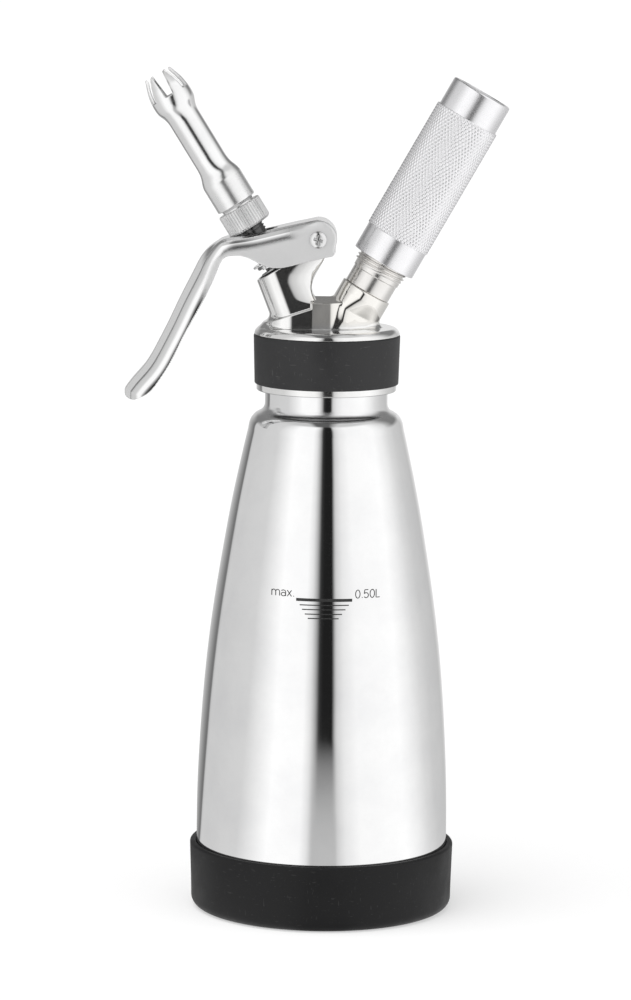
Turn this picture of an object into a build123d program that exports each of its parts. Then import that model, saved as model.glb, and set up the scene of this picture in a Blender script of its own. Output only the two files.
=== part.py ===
from build123d import *
import math
import os

os.makedirs("parts", exist_ok=True)

# Whipped cream dispenser: a double-walled steel bottle, a screwed head with a
# lever valve and a charger inlet, a tulip nozzle and a charger holder.
# Millimetres. Origin at the middle of the base, +Z up, +X towards the charger
# holder, -Y towards the user. The bottle stands on z = 0.

# ---------------------------------------------------------------- dimensions
# bottle
shell_wall = 0.8
vacuum_gap = 9.0
liner_wall = 0.8
shell_base_z = 3.0
shell_corner = 6.0
neck_r = 24.2            # outside of the shell's neck
neck_bore_r = 22.0
collar_r = 24.0          # threaded collar, at the thread's root
collar_z0, rim_z = 206.2, 226.9
fill_line_z = 130.7
# boot
boot_r_low, boot_r_top, boot_h, boot_floor = 51.9, 52.5, 26.2, 3.0
# neck thread
neck_pitch = 4.0
neck_crest_r = 25.3
# head
lip_r, lip_z0, lip_z1 = 27.6, 207.3, 209.9
skirt_r = 27.4
ring_r_low, ring_r_top, ring_z1 = 28.4, 28.9, 229.4
cap_r, cap_top_z, cap_edge = 28.7, 233.8, 4.3
head_bore_r, roof_z = 25.7, 229.5
# valve side: the axis leans to the left by 32 degrees
valve_at = (-29.9, 0, 270.7)
valve_dir = (-0.52992, 0, 0.84805)
valve_x = (0.84805, 0, 0.52992)
boss_rim_t, boss_rim_r, boss_bore_r = -18.3, 9.0, 7.9
boss_low_t, boss_low_r = -32.3, 11.6
boss_flat, boss_right = 9.2, 8.0   # flats on the boss: front and back, right side
chamber_r, chamber_step_t = 6.9, -21.0
spring_floor_t = -35.8
stem_r, stem_bore_r = 3.9, 2.0
hub_r = 5.0
collar_flat = 2.6
spring_wire, spring_mean_r, spring_turns = 1.4, 5.8, 6.5
# nozzle
nozzle_pitch = 1.25
nut_r, nut_t0, nut_t1 = 9.0, 2.2, 10.6
# inlet side: the axis leans to the right by 29.5 degrees
inlet_at = (22.3, 0, 258.8)
inlet_dir = (0.49242, 0, 0.87036)
inlet_x = (0.87036, 0, -0.49242)
inlet_boss_r, inlet_boss_t = 10.65, -13.8
stud_r, stud_crest_r, stud_root_r = 9.4, 10.5, 9.75
stud_pitch = 1.5
# charger and its holder
holder_t0, holder_t1 = -0.8, 76.1
holder_collar_r, holder_knurl_r, holder_top_r = 12.9, 13.25, 12.45
knurl_t0, knurl_t1 = 10.2, 64.4
charger_r, charger_len, charger_tip_t = 9.0, 65.5, 7.4
# lever
pivot = (-3.9, 267.5)
lever_half, lever_wall = 11.4, 1.5
lug_half = 8.4
pin_r = 1.75

VALVE = Plane(origin=valve_at, x_dir=valve_x, z_dir=valve_dir).location
INLET = Plane(origin=inlet_at, x_dir=inlet_x, z_dir=inlet_dir).location


# ------------------------------------------------------------------- helpers
def p3(pts):
    return [Vector(r, 0, z) for r, z in pts]


def turned(*pieces):
    """A solid of revolution about Z from a closed outline in (radius, height).
    Each piece is a list of points, joined by straight lines, or
    ("curve", points), joined by a smooth curve."""
    edges, last, first = [], None, None
    for piece in pieces:
        smooth = piece[0] == "curve"
        pts = p3(piece[1] if smooth else piece)
        if last is not None and (pts[0] - last).length > 1e-6:
            edges.append(Edge.make_line(last, pts[0]))
        if smooth:
            edges.append(Edge.make_spline(pts))
        else:
            edges += [Edge.make_line(a, b) for a, b in zip(pts, pts[1:])]
        last = pts[-1]
        first = first or pts[0]
    if (last - first).length > 1e-6:
        edges.append(Edge.make_line(last, first))
    return Solid(revolve(Face(Wire(edges)), Axis.Z).solids()[0].wrapped)


def arc(cr, cz, r, a0, a1, n=7):
    """Points on a circular arc of an outline, angles in degrees."""
    return [
        (cr + r * math.cos(math.radians(a0 + (a1 - a0) * i / (n - 1))),
         cz + r * math.sin(math.radians(a0 + (a1 - a0) * i / (n - 1))))
        for i in range(n)
    ]


def rod(r, z0, z1, x=0, y=0):
    return Pos(x, y, (z0 + z1) / 2) * Cylinder(r, z1 - z0)


def tube(r, bore, z0, z1):
    return rod(r, z0, z1) - rod(bore, z0 - 1, z1 + 1)


def ridge(root_r, crest_r, root_w, crest_w, pitch, z0, z1):
    """One start of a right-handed thread: a ridge between two radii, as a
    closed solid of four helicoids and two flat ends."""
    def helix(r, dz):
        w = Edge.make_helix(pitch, z1 - z0, r, center=(0, 0, z0 + dz), normal=(0, 0, 1))
        return Edge(w.edges()[0].wrapped)
    e = [helix(root_r, -root_w / 2), helix(root_r, root_w / 2),
         helix(crest_r, crest_w / 2), helix(crest_r, -crest_w / 2)]
    faces = [Face.make_surface_from_curves(e[i], e[(i + 1) % 4]) for i in range(4)]
    for t in (0, 1):
        faces.append(Face(Wire(Polyline(*[x @ t for x in e], close=True).edges())))
    return Solid(Shell(faces))


def spline_offset(pts, d):
    """The outline moved sideways by d, to the left of its direction."""
    out = []
    for i, (r, z) in enumerate(pts):
        a, b = pts[max(i - 1, 0)], pts[min(i + 1, len(pts) - 1)]
        dr, dz = b[0] - a[0], b[1] - a[1]
        n = math.hypot(dr, dz)
        out.append((r - dz / n * d, z + dr / n * d))
    return out


def sheet(points_xz, half):
    """A plate: an outline in x, z carried from y = -half to +half.
    points_xz is a list of outline pieces as in turned()."""
    edges, last, first = [], None, None
    for piece in points_xz:
        smooth = piece[0] == "curve"
        pts = [Vector(x, -half, z) for x, z in (piece[1] if smooth else piece)]
        if last is not None and (pts[0] - last).length > 1e-6:
            edges.append(Edge.make_line(last, pts[0]))
        edges += ([Edge.make_spline(pts)] if smooth
                  else [Edge.make_line(a, b) for a, b in zip(pts, pts[1:])])
        last, first = pts[-1], first or pts[0]
    if (last - first).length > 1e-6:
        edges.append(Edge.make_line(last, first))
    return Solid(extrude(Face(Wire(edges)), 2 * half, (0, 1, 0)).solids()[0].wrapped)


NODES = {}


def node(name, shape):
    NODES[name] = shape
    solids = shape.solids()
    print(name, len(solids), round(sum(s.volume for s in solids)), shape.is_valid)
    one = solids[0] if len(solids) == 1 else Compound(children=list(solids))
    export_step(one, f"parts/{name}.step")


# -------------------------------------------------------------------- bottle
# Outside of the shell, base to shoulder, then the shoulder down to the neck.
side = [(50.0, 9.0), (50.0, 20.0), (49.9, 30.6), (49.8, 43.7), (49.1, 63.2),
        (47.9, 82.7), (46.2, 102.1), (43.6, 123.1), (40.3, 144.0), (36.9, 163.3),
        (33.6, 179.2), (31.6, 188.2), (30.7, 192.0)]
shoulder = [(30.7, 192.0), (30.2, 194.6), (29.2, 196.6), (27.4, 198.2),
            (25.4, 199.4), (24.4, 200.8), (24.2, 202.4)]
side_in = spline_offset(side, shell_wall)
shoulder_in = spline_offset(shoulder, shell_wall)
side_in[-1] = shoulder_in[0] = (29.9, 192.0)
side_in[0] = (50.0 - shell_wall, 9.0)
shoulder_in[-1] = (neck_r - shell_wall, 202.4)
corner = arc(50.0 - shell_corner, shell_base_z + shell_corner, shell_corner, -90, 0)
corner_in = arc(50.0 - shell_corner, shell_base_z + shell_corner,
                shell_corner - shell_wall, -90, 0)
outer_shell = turned(
    [(41.0, shell_base_z), corner[0]], ("curve", corner), ("curve", side),
    ("curve", shoulder), [(neck_r, 202.4), (neck_r, collar_z0 - 0.2),
                          (neck_r - shell_wall, collar_z0 - 0.2),
                          (neck_r - shell_wall, 202.4)],
    ("curve", shoulder_in[::-1]), ("curve", side_in[::-1]),
    ("curve", corner_in[::-1]), [corner_in[0], (41.0, shell_base_z + shell_wall)])
node("outer_shell", outer_shell)

# Liner: follows the shell at the vacuum gap, then runs up as a straight neck.
depth = shell_wall + vacuum_gap + liner_wall
liner_in = [(r - depth, z) for r, z in side if 24 < z and r - depth > neck_bore_r + 0.9]
liner_in = [(50.0 - depth, 23.5)] + liner_in + [(22.15, 181.0), (neck_bore_r, 184.5)]
liner_out = [(r + liner_wall + 0.02, z) for r, z in liner_in]
liner_out[-2:] = [(22.15 + 1.15, 181.6), (neck_bore_r + 1.3, 185.2)]
floor_z = 14.6
liner_r = 50.0 - depth
inner_corner = arc(liner_r - 8, floor_z + 8.9, 8.0, -90, 0)
outer_corner = arc(liner_r - 8, floor_z + 8.9, 8.0 + liner_wall + 0.02, -90, 0)
liner = turned(
    [(0, floor_z + 0.9), inner_corner[0]], ("curve", inner_corner), ("curve", liner_in),
    [(neck_bore_r, 184.5), (neck_bore_r, rim_z - 0.5), (neck_bore_r + 0.5, rim_z),
     (collar_r - 0.4, rim_z), (collar_r, rim_z - 0.4), (collar_r, collar_z0),
     (neck_r - shell_wall - 0.05, collar_z0), (neck_r - shell_wall - 0.05, 203.0),
     (neck_bore_r + 1.3, 202.0), (neck_bore_r + 1.3, 185.2)],
    ("curve", liner_out[::-1]), ("curve", outer_corner[::-1]),
    [(liner_r - 8, floor_z + 0.08), (0, floor_z + 0.08)])
neck_thread = ridge(collar_r - 0.25, neck_crest_r, 2.3, 0.9, neck_pitch, 212.0, 223.0)
node("inner_vessel", liner + neck_thread)

# Base: a disc welded in the shell's turned-in edge, its evacuation hole closed
# by a plug, and a getter pad that keeps the vacuum.
base_disc = turned([(2.5, 3.8), (43.5, 3.8), (43.5, 4.8), (2.5, 4.8)])
node("shell_base_disc", base_disc)
node("vacuum_seal_plug", turned([(0, 3.05), (4.3, 3.05), (4.5, 3.25), (4.5, 3.78),
                                 (2.46, 3.78), (2.46, 5.4), (2.0, 5.8), (0, 5.8)]))
node("getter_pad", Pos(20, 0, 4.82 + 0.6) * Box(14, 8, 1.2))

# Boot: a rubber cup with a closed floor; the bottle stands on it.
boot_arc = arc(boot_r_low - 4.0, 4.0, 4.0, -90, 0)
boot_in = arc(50.06 - shell_corner, boot_floor - 0.02 + shell_corner, shell_corner, 0, -90)
boot = turned(
    [(0, 0), boot_arc[0]], ("curve", boot_arc),
    [boot_arc[-1], (boot_r_top, boot_h - 1.0)],
    ("curve", arc(boot_r_top - 1.0, boot_h - 1.0, 1.0, 0, 90, 5)),
    [(boot_r_top - 1.0, boot_h), (50.06, boot_h), (50.06, boot_in[0][1])],
    ("curve", boot_in), [boot_in[-1], (0, boot_floor - 0.02)])
node("rubber_boot", boot)

# ---------------------------------------------------------------------- head
node("head_gasket", turned([(19.6, 227.15), (25.3, 227.15), (25.3, 229.25), (19.6, 229.25)]))

edge_arc = arc(cap_r - cap_edge, cap_top_z - cap_edge, cap_edge, 0, 90, 9)
cap = turned(
    [(head_bore_r, lip_z0), (lip_r - 0.5, lip_z0), (lip_r, lip_z0 + 0.5), (lip_r, lip_z1),
     (skirt_r, lip_z1), (skirt_r, ring_z1), (cap_r, ring_z1), edge_arc[0]],
    ("curve", edge_arc), [edge_arc[-1], (0, cap_top_z), (0, roof_z), (head_bore_r, roof_z)])
above = Pos(0, 0, 232.5 + 50) * Box(200, 200, 100)  # keeps feet out of the bore

# The boss is a cone with its front, back and right side cut flat above the foot.
boss = turned([(0, boss_rim_t), (boss_rim_r, boss_rim_t), (boss_low_r, boss_low_t),
               (13.2, -41.0), (13.2, -52.0), (0, -52.0)])
boss = VALVE * ((boss & Pos(boss_right - 15, 0, -25) * Box(30, 2 * boss_flat, 14.2))
                + (boss & Pos(0, 0, -46) * Box(40, 40, 27.8)))
inlet_boss = INLET * (rod(inlet_boss_r, -34.0, inlet_boss_t - 0.6)
                      + turned([(0, inlet_boss_t - 0.6), (inlet_boss_r, inlet_boss_t - 0.6),
                                (inlet_boss_r - 0.5, inlet_boss_t), (0, inlet_boss_t)]))
block = extrude(Pos(0.9, -0.2, 231) * RectangleRounded(14.0, 24.6, 2.0), 12)
plan = Pos(-9.2, 0) * Circle(11.3) + Pos(-5.6, 0) * Rectangle(7.2, 22.6)
saddle = extrude(Pos(0, 0, 231) * plan, 14) & sheet(
    [[(-30, 231), (-30, 232.4), (-2.0, 241.8), (-2.0, 231)]], 30)
lug = sheet([[(-19.5, 236.5), (-19.8, 250.0), (-13.4, 259.6)] +
             [(pivot[0] + 4.6 * math.cos(math.radians(a)), pivot[1] + 4.6 * math.sin(math.radians(a)))
              for a in (150, 120, 90, 60, 30, 0)] +
             [(0.3, 264.4), (-1.6, 259.0), (-5.6, 251.5), (-6.6, 248.0), (-3.8, 242.0), (-3.8, 236.5)]], lug_half)
masses = (boss & above) + (inlet_boss & above) + (block & above) + (saddle & above) + lug
head = cap + masses
print("head before bores", head.is_valid, len(head.solids()), round(head.volume))


def soften(shape, at, r):
    """Round the edge whose middle is nearest to a point, where it can be."""
    edge = min(shape.edges(), key=lambda e: (e.center() - Vector(*at)).length)
    try:
        new = fillet([edge], r)
        if new.is_valid and len(new.solids()) == 1:
            return new
    except Exception:
        pass
    print("edge left sharp:", at, r)
    return shape


for y in (-1, 1):
    head = soften(head, (4.7, y * 7.5, 243.0), 1.5)    # block to inlet

# valve bore, spring chamber and seat
head -= VALVE * rod(boss_bore_r, chamber_step_t, 0)
head -= VALVE * rod(chamber_r, spring_floor_t, 0)
head -= VALVE * rod(stem_r + 0.06, -60, 0)
head -= VALVE * (rod(6.8, -64, -47.0))
# inlet bore, stud socket and non-return valve recess
head -= INLET * rod(6.0, -27.5, 0)
head -= INLET * rod(2.0, -50, 0)
head -= INLET * rod(4.0, -46, -31.5)
# pivot hole
head -= Pos(pivot[0], 0, pivot[1]) * Rot(90, 0, 0) * Cylinder(pin_r + 0.01, 40)
head_thread = ridge(head_bore_r + 0.25, 24.65, 2.3, 0.9, neck_pitch, 210.0, 224.0)
node("head_cap", head + head_thread)

ring_edge = 0.7
node("grip_ring", turned(
    [(skirt_r + 0.01, lip_z1 + 0.02), (ring_r_low - ring_edge, lip_z1 + 0.02)],
    ("curve", arc(ring_r_low - ring_edge, lip_z1 + 0.02 + ring_edge, ring_edge, -90, 0, 5)),
    [(ring_r_low, lip_z1 + 0.02 + ring_edge), (ring_r_top, ring_z1 - 0.02 - ring_edge)],
    ("curve", arc(ring_r_top - ring_edge, ring_z1 - 0.02 - ring_edge, ring_edge, 0, 90, 5)),
    [(ring_r_top - ring_edge, ring_z1 - 0.02), (skirt_r + 0.01, ring_z1 - 0.02)]))

# ------------------------------------------------------------ valve and stem
# Hollow stem: threaded top for the nozzle, push collar under the lever, hub,
# guide, cross hole above the seal, threaded tail for the retainer.
stem = turned([(stem_bore_r, 8.6), (4.2, 8.6), (4.6, 8.2), (4.6, -3.2), (3.9, -3.6),
               (3.9, -4.5), (6.1, -4.5), (6.4, -4.8), (6.4, -6.6), (hub_r, -7.2),
               (hub_r, -13.4), (stem_r, -13.4), (stem_r, -40.8), (3.3, -40.8),
               (3.3, -43.0), (stem_r, -43.0), (stem_r, -44.2), (2.9, -45.0),
               (2.9, -47.2), (2.0, -47.2), (2.0, -53.6), (0, -53.6), (0, -46.6),
               (stem_bore_r, -46.0)])
stem -= Pos(0, 0, -45.6) * Rot(90, 0, 0) * Cylinder(0.55, 20)
stem -= Pos(0, 0, -45.6) * Rot(0, 90, 0) * Cylinder(0.55, 20)
# The push collar has two flats, so that only its ends meet the slot's long sides.
for side_s in (-1, 1):
    stem -= Pos(side_s * (collar_flat + 5), 0, -5.75) * (Cylinder(30, 2.9) & Box(10, 30, 2.9)) - rod(hub_r, -10, 0)
stem_thread = ridge(4.45, 5.0, 0.75, 0.3, nozzle_pitch, -1.9, 7.6)
node("valve_stem", VALVE * (stem + stem_thread))
node("spring_cap", VALVE * turned([(stem_r + 0.02, -13.42), (7.5, -13.42), (7.85, -13.7), (7.85, -14.1),
                                   (7.5, -14.4), (4.9, -14.4), (4.9, -16.2), (stem_r + 0.02, -16.2)]))
node("stem_o_ring", VALVE * Pos(0, 0, -41.9) * Torus(3.6, 0.28))
node("valve_seal", VALVE * turned([(2.02, -47.24), (4.6, -47.24), (5.9, -48.6), (5.9, -50.4), (2.02, -50.4)]))
node("valve_retainer", VALVE * turned([(2.02, -50.42), (4.4, -50.42), (4.4, -52.0), (3.6, -53.0), (2.02, -53.0)]))

# Spring: a coil between the cap and the floor of the chamber.
z_lo, z_hi = spring_floor_t + spring_wire / 2 + 0.05, -14.42 - spring_wire / 2
coil = Edge(Edge.make_helix((z_hi - z_lo) / spring_turns, z_hi - z_lo, spring_mean_r,
                       center=(0, 0, z_lo), normal=(0, 0, 1)).edges()[0].wrapped)
start = coil @ 0
wire_face = Face(Wire(Edge.make_circle(spring_wire / 2, Plane(origin=start, z_dir=coil % 0))))
node("valve_spring", VALVE * Solid(sweep(wire_face, path=coil, is_frenet=True).solids()[0].wrapped))

# -------------------------------------------------------------------- nozzle
node("nozzle_gasket", VALVE * turned([(2.3, 8.9), (4.85, 8.9), (4.85, 10.3), (2.3, 10.3)]))
nut = turned([(5.35, nut_t0), (nut_r - 0.9, nut_t0), (nut_r, nut_t0 + 0.9), (nut_r, nut_t1 - 0.5),
              (nut_r - 0.5, nut_t1), (6.6, nut_t1), (6.6, 8.4), (5.35, 8.4)])
# the nut's ridge stands half a pitch above the stem's
k = math.ceil((2.9 + 1.9) / nozzle_pitch)
nut_thread = ridge(5.55, 4.8, 0.75, 0.3, nozzle_pitch, -1.9 + (k - 0.5) * nozzle_pitch, 7.9)
knurls = 46
for i in range(knurls):
    nut -= Rot(0, 0, 360 * i / knurls) * Pos(nut_r + 0.05, 0, (nut_t0 + nut_t1) / 2) * Rot(0, 0, 45) * Box(0.62, 0.62, 20)
node("nozzle_nut", VALVE * (nut + nut_thread))

tulip_out = [(8.0, 11.0), (8.25, 11.3), (8.25, 22.7)]
tulip_neck = [(8.25, 22.7), (7.7, 24.8), (6.9, 26.9), (6.45, 29.5), (6.4, 33.0)]
tulip_flare = [(6.4, 50.5), (6.55, 52.4), (7.2, 54.6), (7.95, 56.4), (8.25, 58.4), (8.25, 60.6),
               (7.9, 63.5), (7.6, 65.1), (7.15, 66.6), (6.6, 68.2), (6.0, 69.8), (5.45, 71.2)]
tulip_flare_in = [(r - 1.35, z) for r, z in tulip_flare]
tulip = turned(
    [(5.0, 8.5), (6.58, 8.5), (6.58, 10.65), (7.0, 10.65), (7.0, 11.0), (8.0, 11.0)],
    tulip_out, ("curve", tulip_neck), [(6.4, 33.0), (6.4, 50.5)], ("curve", tulip_flare),
    [(5.45, 71.2), tulip_flare_in[-1]], ("curve", tulip_flare_in[::-1]),
    [tulip_flare_in[0], (5.05, 33.0), (5.05, 14.5), (3.4, 13.5), (3.4, 10.6), (5.0, 10.6)])
for i in range(6):
    slot = sheet([[(-1.55, 61.9), (-1.1, 61.4), (0, 61.2), (1.1, 61.4), (1.55, 61.9),
                   (2.4, 72.5), (-2.4, 72.5)]], 5.0)
    tulip -= Rot(0, 0, 60 * i) * Pos(0, -6.5, 0) * slot
node("nozzle_tulip", VALVE * tulip)

# --------------------------------------------------------------------- lever
web = [(-4.0, 275.2), (-12.0, 273.45), (-22.0, 271.05), (-31.4, 268.8), (-36.2, 268.0),
       (-40.6, 267.1), (-44.8, 264.9), (-48.6, 261.4), (-52.6, 254.4), (-58.2, 243.2),
       (-61.9, 235.2), (-66.9, 225.2), (-71.6, 217.2), (-76.7, 211.2), (-79.5, 207.4)]
tip = [(-79.5, 207.4), (-79.4, 205.2), (-77.9, 203.7), (-76.0, 203.5)]
under = [(-76.0, 203.5), (-69.6, 206.6), (-65.8, 211.2), (-61.7, 217.7), (-55.9, 229.5),
         (-50.1, 240.2), (-44.4, 252.0), (-42.2, 257.6)]
plate = [(-42.2, 257.6), (-40.6, 259.9), (-38.0, 260.8), (-34.5, 260.9), (-30.6, 259.8),
         (-25.8, 257.4), (-20.3, 256.2), (-11.3, 257.9), (1.6, 261.0)]
rear_r = 7.5
rear = [(2.2, 261.3), (3.0, 262.6)] + [
    (pivot[0] + rear_r * math.cos(math.radians(a)), pivot[1] + rear_r * math.sin(math.radians(a)))
    for a in (-22, 0, 20, 40, 58, 74)]
body = sheet([("curve", web), ("curve", tip), ("curve", under), ("curve", plate),
              [(1.6, 261.0), rear[0], rear[1]], ("curve", rear[1:] + [(-4.0, 275.2)])], lever_half)
# The channel is open below: the outline moved in by the wall, closed far below.
inner_top = spline_offset(web, lever_wall)
channel = sheet([("curve", inner_top), [inner_top[-1], (-78.5, 190), (-40, 190), (-30, 225), (10, 240), (1.3, 255),
                 (1.3, 262.0)], ("curve", [(1.3, 262.0), (pivot[0] + 5.9, 266.5), (pivot[0] + 5.3, 270.2), (-1.2, 272.6),
                                  inner_top[0]])], lever_half - lever_wall)
web_edges = [e for e in body.edges() if abs(abs(e.center().Y) - lever_half) < 0.01
             and min(abs((e @ 0 - Vector(-4.0, s * lever_half, 275.2)).length) for s in (-1, 1)) < 0.01
             or abs(abs(e.center().Y) - lever_half) < 0.01
             and min(abs((e @ 1 - Vector(-4.0, s * lever_half, 275.2)).length) for s in (-1, 1)) < 0.01]
body = fillet(web_edges, 3.0)
lever = body - channel
slot_mid = (-28.7, 269.37)
lever -= Pos(slot_mid[0], 0, slot_mid[1]) * Rot(0, -13.5, 0) * extrude(SlotOverall(18.2, 11.0), 6, both=True)
lever -= Pos(pivot[0], 0, pivot[1]) * Rot(90, 0, 0) * Cylinder(pin_r + 0.05, 60)
node("lever", lever)

pin = Rot(90, 0, 0) * turned([(0, -lever_half - 0.1), (pin_r, -lever_half - 0.1), (pin_r, lever_half + 0.15),
                              (3.35, lever_half + 0.15), (3.3, lever_half + 0.6), (2.6, lever_half + 1.3),
                              (1.5, lever_half + 1.7), (0, lever_half + 1.8)])
pin -= Pos(0, -lever_half - 1.8, 0) * Box(3.0, 1.6, 0.7)
pin -= Pos(0, -lever_half - 1.8, 0) * Box(0.7, 1.6, 3.0)
node("pivot_pin", Pos(pivot[0], 0, pivot[1]) * pin)
node("pivot_cap", Pos(pivot[0], 0, pivot[1]) * Rot(-90, 0, 0) * turned(
    [(0, lever_half + 0.15), (3.35, lever_half + 0.15), (3.3, lever_half + 0.6), (2.6, lever_half + 1.3),
     (1.5, lever_half + 1.7), (0, lever_half + 1.8)]))

# --------------------------------------------------------- inlet and charger
stud = turned([(1.5, -26.0), (5.98, -26.0), (5.98, inlet_boss_t + 0.02), (stud_r - 0.4, inlet_boss_t + 0.02), (stud_r, inlet_boss_t + 0.4),
               (stud_r, -7.1), (stud_root_r, -6.8), (stud_root_r, 9.2), (9.0, 9.8), (9.0, 12.4), (8.6, 12.8),
               (5.2, 12.8), (4.9, 12.4), (4.9, 4.4), (1.5, 4.4)])
stud_thread = ridge(stud_root_r - 0.2, stud_crest_r, 0.95, 0.3, stud_pitch, -6.2, 8.8)
node("inlet_stud", INLET * (stud + stud_thread))
node("inlet_gasket", INLET * turned([(2.2, -27.46), (5.9, -27.46), (5.9, -26.04), (2.2, -26.04)]))
node("piercing_pin", INLET * turned([(0.35, -4.0), (1.49, -4.0), (1.49, 4.4), (0.8, 4.6), (0.8, 7.6),
                                     (0.36, 8.8), (0.35, 8.8)]))
node("charger_seal", INLET * turned([(1.9, 4.45), (4.85, 4.45), (4.85, 7.0), (1.9, 7.0)]))
node("non_return_valve", INLET * turned([(0, -30.4), (1.9, -30.4), (1.9, -31.6), (3.4, -31.9), (3.4, -32.6),
                                         (0, -34.0)]))

# Gas charger: neck down on the seal, pierced by the pin.
c0 = charger_tip_t
ch_neck = [(3.6, c0 + 4.2), (3.8, c0 + 6.0), (5.2, c0 + 8.2), (7.6, c0 + 10.0), (8.7, c0 + 12.0), (9.0, c0 + 15.0)]
ch_end = [(9.0, c0 + 58.0), (8.6, c0 + 61.0), (7.0, c0 + 63.8), (4.0, c0 + 65.2), (0, c0 + charger_len)]
in_neck = [(2.0, c0 + 4.6), (2.3, c0 + 6.8), (4.0, c0 + 9.4), (6.4, c0 + 11.4), (7.4, c0 + 13.4), (7.6, c0 + 16.0)]
in_end = [(7.6, c0 + 57.5), (7.2, c0 + 60.0), (5.6, c0 + 62.4), (3.0, c0 + 63.6), (0, c0 + 63.9)]
node("gas_charger", INLET * turned(
    [(1.1, c0), (3.4, c0), (3.75, c0 + 0.4), (3.6, c0 + 4.2)], ("curve", ch_neck),
    [(9.0, c0 + 15.0), (9.0, c0 + 58.0)], ("curve", ch_end), [(0, c0 + charger_len), (0, c0 + 63.9)],
    ("curve", in_end[::-1]), [(7.6, c0 + 57.5), (7.6, c0 + 16.0)], ("curve", in_neck[::-1]),
    [(2.0, c0 + 4.6), (2.0, c0 + 1.0), (1.1, c0 + 1.0)]))

# Holder: threaded mouth, plain bore for the charger, closed top.
holder = turned([(10.8, holder_t0), (holder_collar_r - 0.3, holder_t0), (holder_collar_r, holder_t0 + 0.3),
                 (holder_collar_r, knurl_t0), (holder_knurl_r, knurl_t0 + 0.2), (holder_knurl_r, knurl_t1 - 0.2),
                 (holder_top_r, knurl_t1), (holder_top_r, holder_t1 - 0.9)],
                ("curve", arc(holder_top_r - 0.9, holder_t1 - 0.9, 0.9, 0, 90, 5)),
                [(holder_top_r - 0.9, holder_t1), (holder_top_r - 2.0, holder_t1), (holder_top_r - 2.3, holder_t1 - 0.35),
                 (0, holder_t1 - 0.35), (0, 73.2), (9.3, 73.2), (9.3, 16.4), (10.8, 14.6)])
holder_thread = ridge(11.0, 10.0, 0.95, 0.3, stud_pitch, -6.2 + 4.5 * stud_pitch, -6.2 + 4.5 * stud_pitch + 8.4)
node("charger_holder", INLET * (holder + holder_thread))
print(len(NODES), "nodes")
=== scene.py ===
import bpy
import math
import numpy as np
from mathutils import Matrix, Vector


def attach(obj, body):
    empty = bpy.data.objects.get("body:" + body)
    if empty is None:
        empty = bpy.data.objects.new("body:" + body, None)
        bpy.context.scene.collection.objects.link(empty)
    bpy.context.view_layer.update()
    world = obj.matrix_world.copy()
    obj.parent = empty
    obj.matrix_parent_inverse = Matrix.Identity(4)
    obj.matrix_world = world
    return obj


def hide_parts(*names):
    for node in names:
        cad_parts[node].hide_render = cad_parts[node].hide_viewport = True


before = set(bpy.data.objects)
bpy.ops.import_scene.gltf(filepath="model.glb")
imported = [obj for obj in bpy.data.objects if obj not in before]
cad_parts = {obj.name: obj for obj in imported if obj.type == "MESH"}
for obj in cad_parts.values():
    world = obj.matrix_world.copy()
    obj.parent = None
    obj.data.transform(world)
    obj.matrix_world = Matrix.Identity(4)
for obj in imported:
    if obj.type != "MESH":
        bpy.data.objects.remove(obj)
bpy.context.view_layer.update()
MM = 0.001

# ------------------------------------------------------------------ mesh tools
# All shapes are worked out in millimetres and written in metres.


def spline(pts, n_per=12):
    """Natural cubic through the points, by chord length, sampled n_per to a span."""
    p = np.array(pts, float)
    u = np.concatenate([[0], np.cumsum(np.hypot(*np.diff(p, axis=0).T))])
    n, h = len(p), np.diff(u)
    a = np.zeros((n, n))
    b = np.zeros((n, 2))
    a[0, 0] = a[-1, -1] = 1
    for i in range(1, n - 1):
        a[i, i - 1], a[i, i], a[i, i + 1] = h[i - 1], 2 * (h[i - 1] + h[i]), h[i]
        b[i] = 6 * ((p[i + 1] - p[i]) / h[i] - (p[i] - p[i - 1]) / h[i - 1])
    m = np.linalg.solve(a, b)
    out = []
    for i in range(n - 1):
        t = np.linspace(0, h[i], n_per, endpoint=False)[:, None]
        c = (p[i + 1] - p[i]) / h[i] - h[i] * (2 * m[i] + m[i + 1]) / 6
        out.append(p[i] + c * t + m[i] / 2 * t ** 2 + (m[i + 1] - m[i]) / (6 * h[i]) * t ** 3)
    out.append(p[-1:])
    return np.vstack(out)


def rounded(pts, steps=6):
    """Outline with its corners rounded: each point is (r, t) or (r, t, radius)."""
    out = []
    n = len(pts)
    for i, q in enumerate(pts):
        p = np.array(q[:2], float)
        rad = q[2] if len(q) > 2 else 0
        if i in (0, n - 1):
            out.append(p)
            continue
        if rad <= 0:
            # a sharp corner, held by a point close to it on either side
            for q2, sign in ((pts[i - 1], 0), (pts[i + 1], 1)):
                e = np.array(q2[:2], float) - p
                near = p + e / np.linalg.norm(e) * min(0.05, 0.3 * np.linalg.norm(e))
                out += [near, p] if sign == 0 else [near]
            continue
        a, b = np.array(pts[i - 1][:2], float) - p, np.array(pts[i + 1][:2], float) - p
        la, lb = np.linalg.norm(a), np.linalg.norm(b)
        a, b = a / la, b / lb
        half = math.acos(max(-1, min(1, float(a @ b)))) / 2
        cut = min(rad / math.tan(half), 0.49 * la, 0.49 * lb)
        r = cut * math.tan(half)
        centre = p + (a + b) / np.linalg.norm(a + b) * (r / math.sin(half))
        v0, v1 = p + a * cut - centre, p + b * cut - centre
        ang = math.atan2(v0[0] * v1[1] - v0[1] * v1[0], float(v0 @ v1))
        out.append(p + a * min(cut + 0.06, 0.495 * la))
        for k in range(steps + 1):
            w = ang * k / steps
            out.append(centre + np.array([v0[0] * math.cos(w) - v0[1] * math.sin(w),
                                          v0[0] * math.sin(w) + v0[1] * math.cos(w)]))
        out.append(p + b * min(cut + 0.06, 0.495 * lb))
    return np.array(out)


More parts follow.
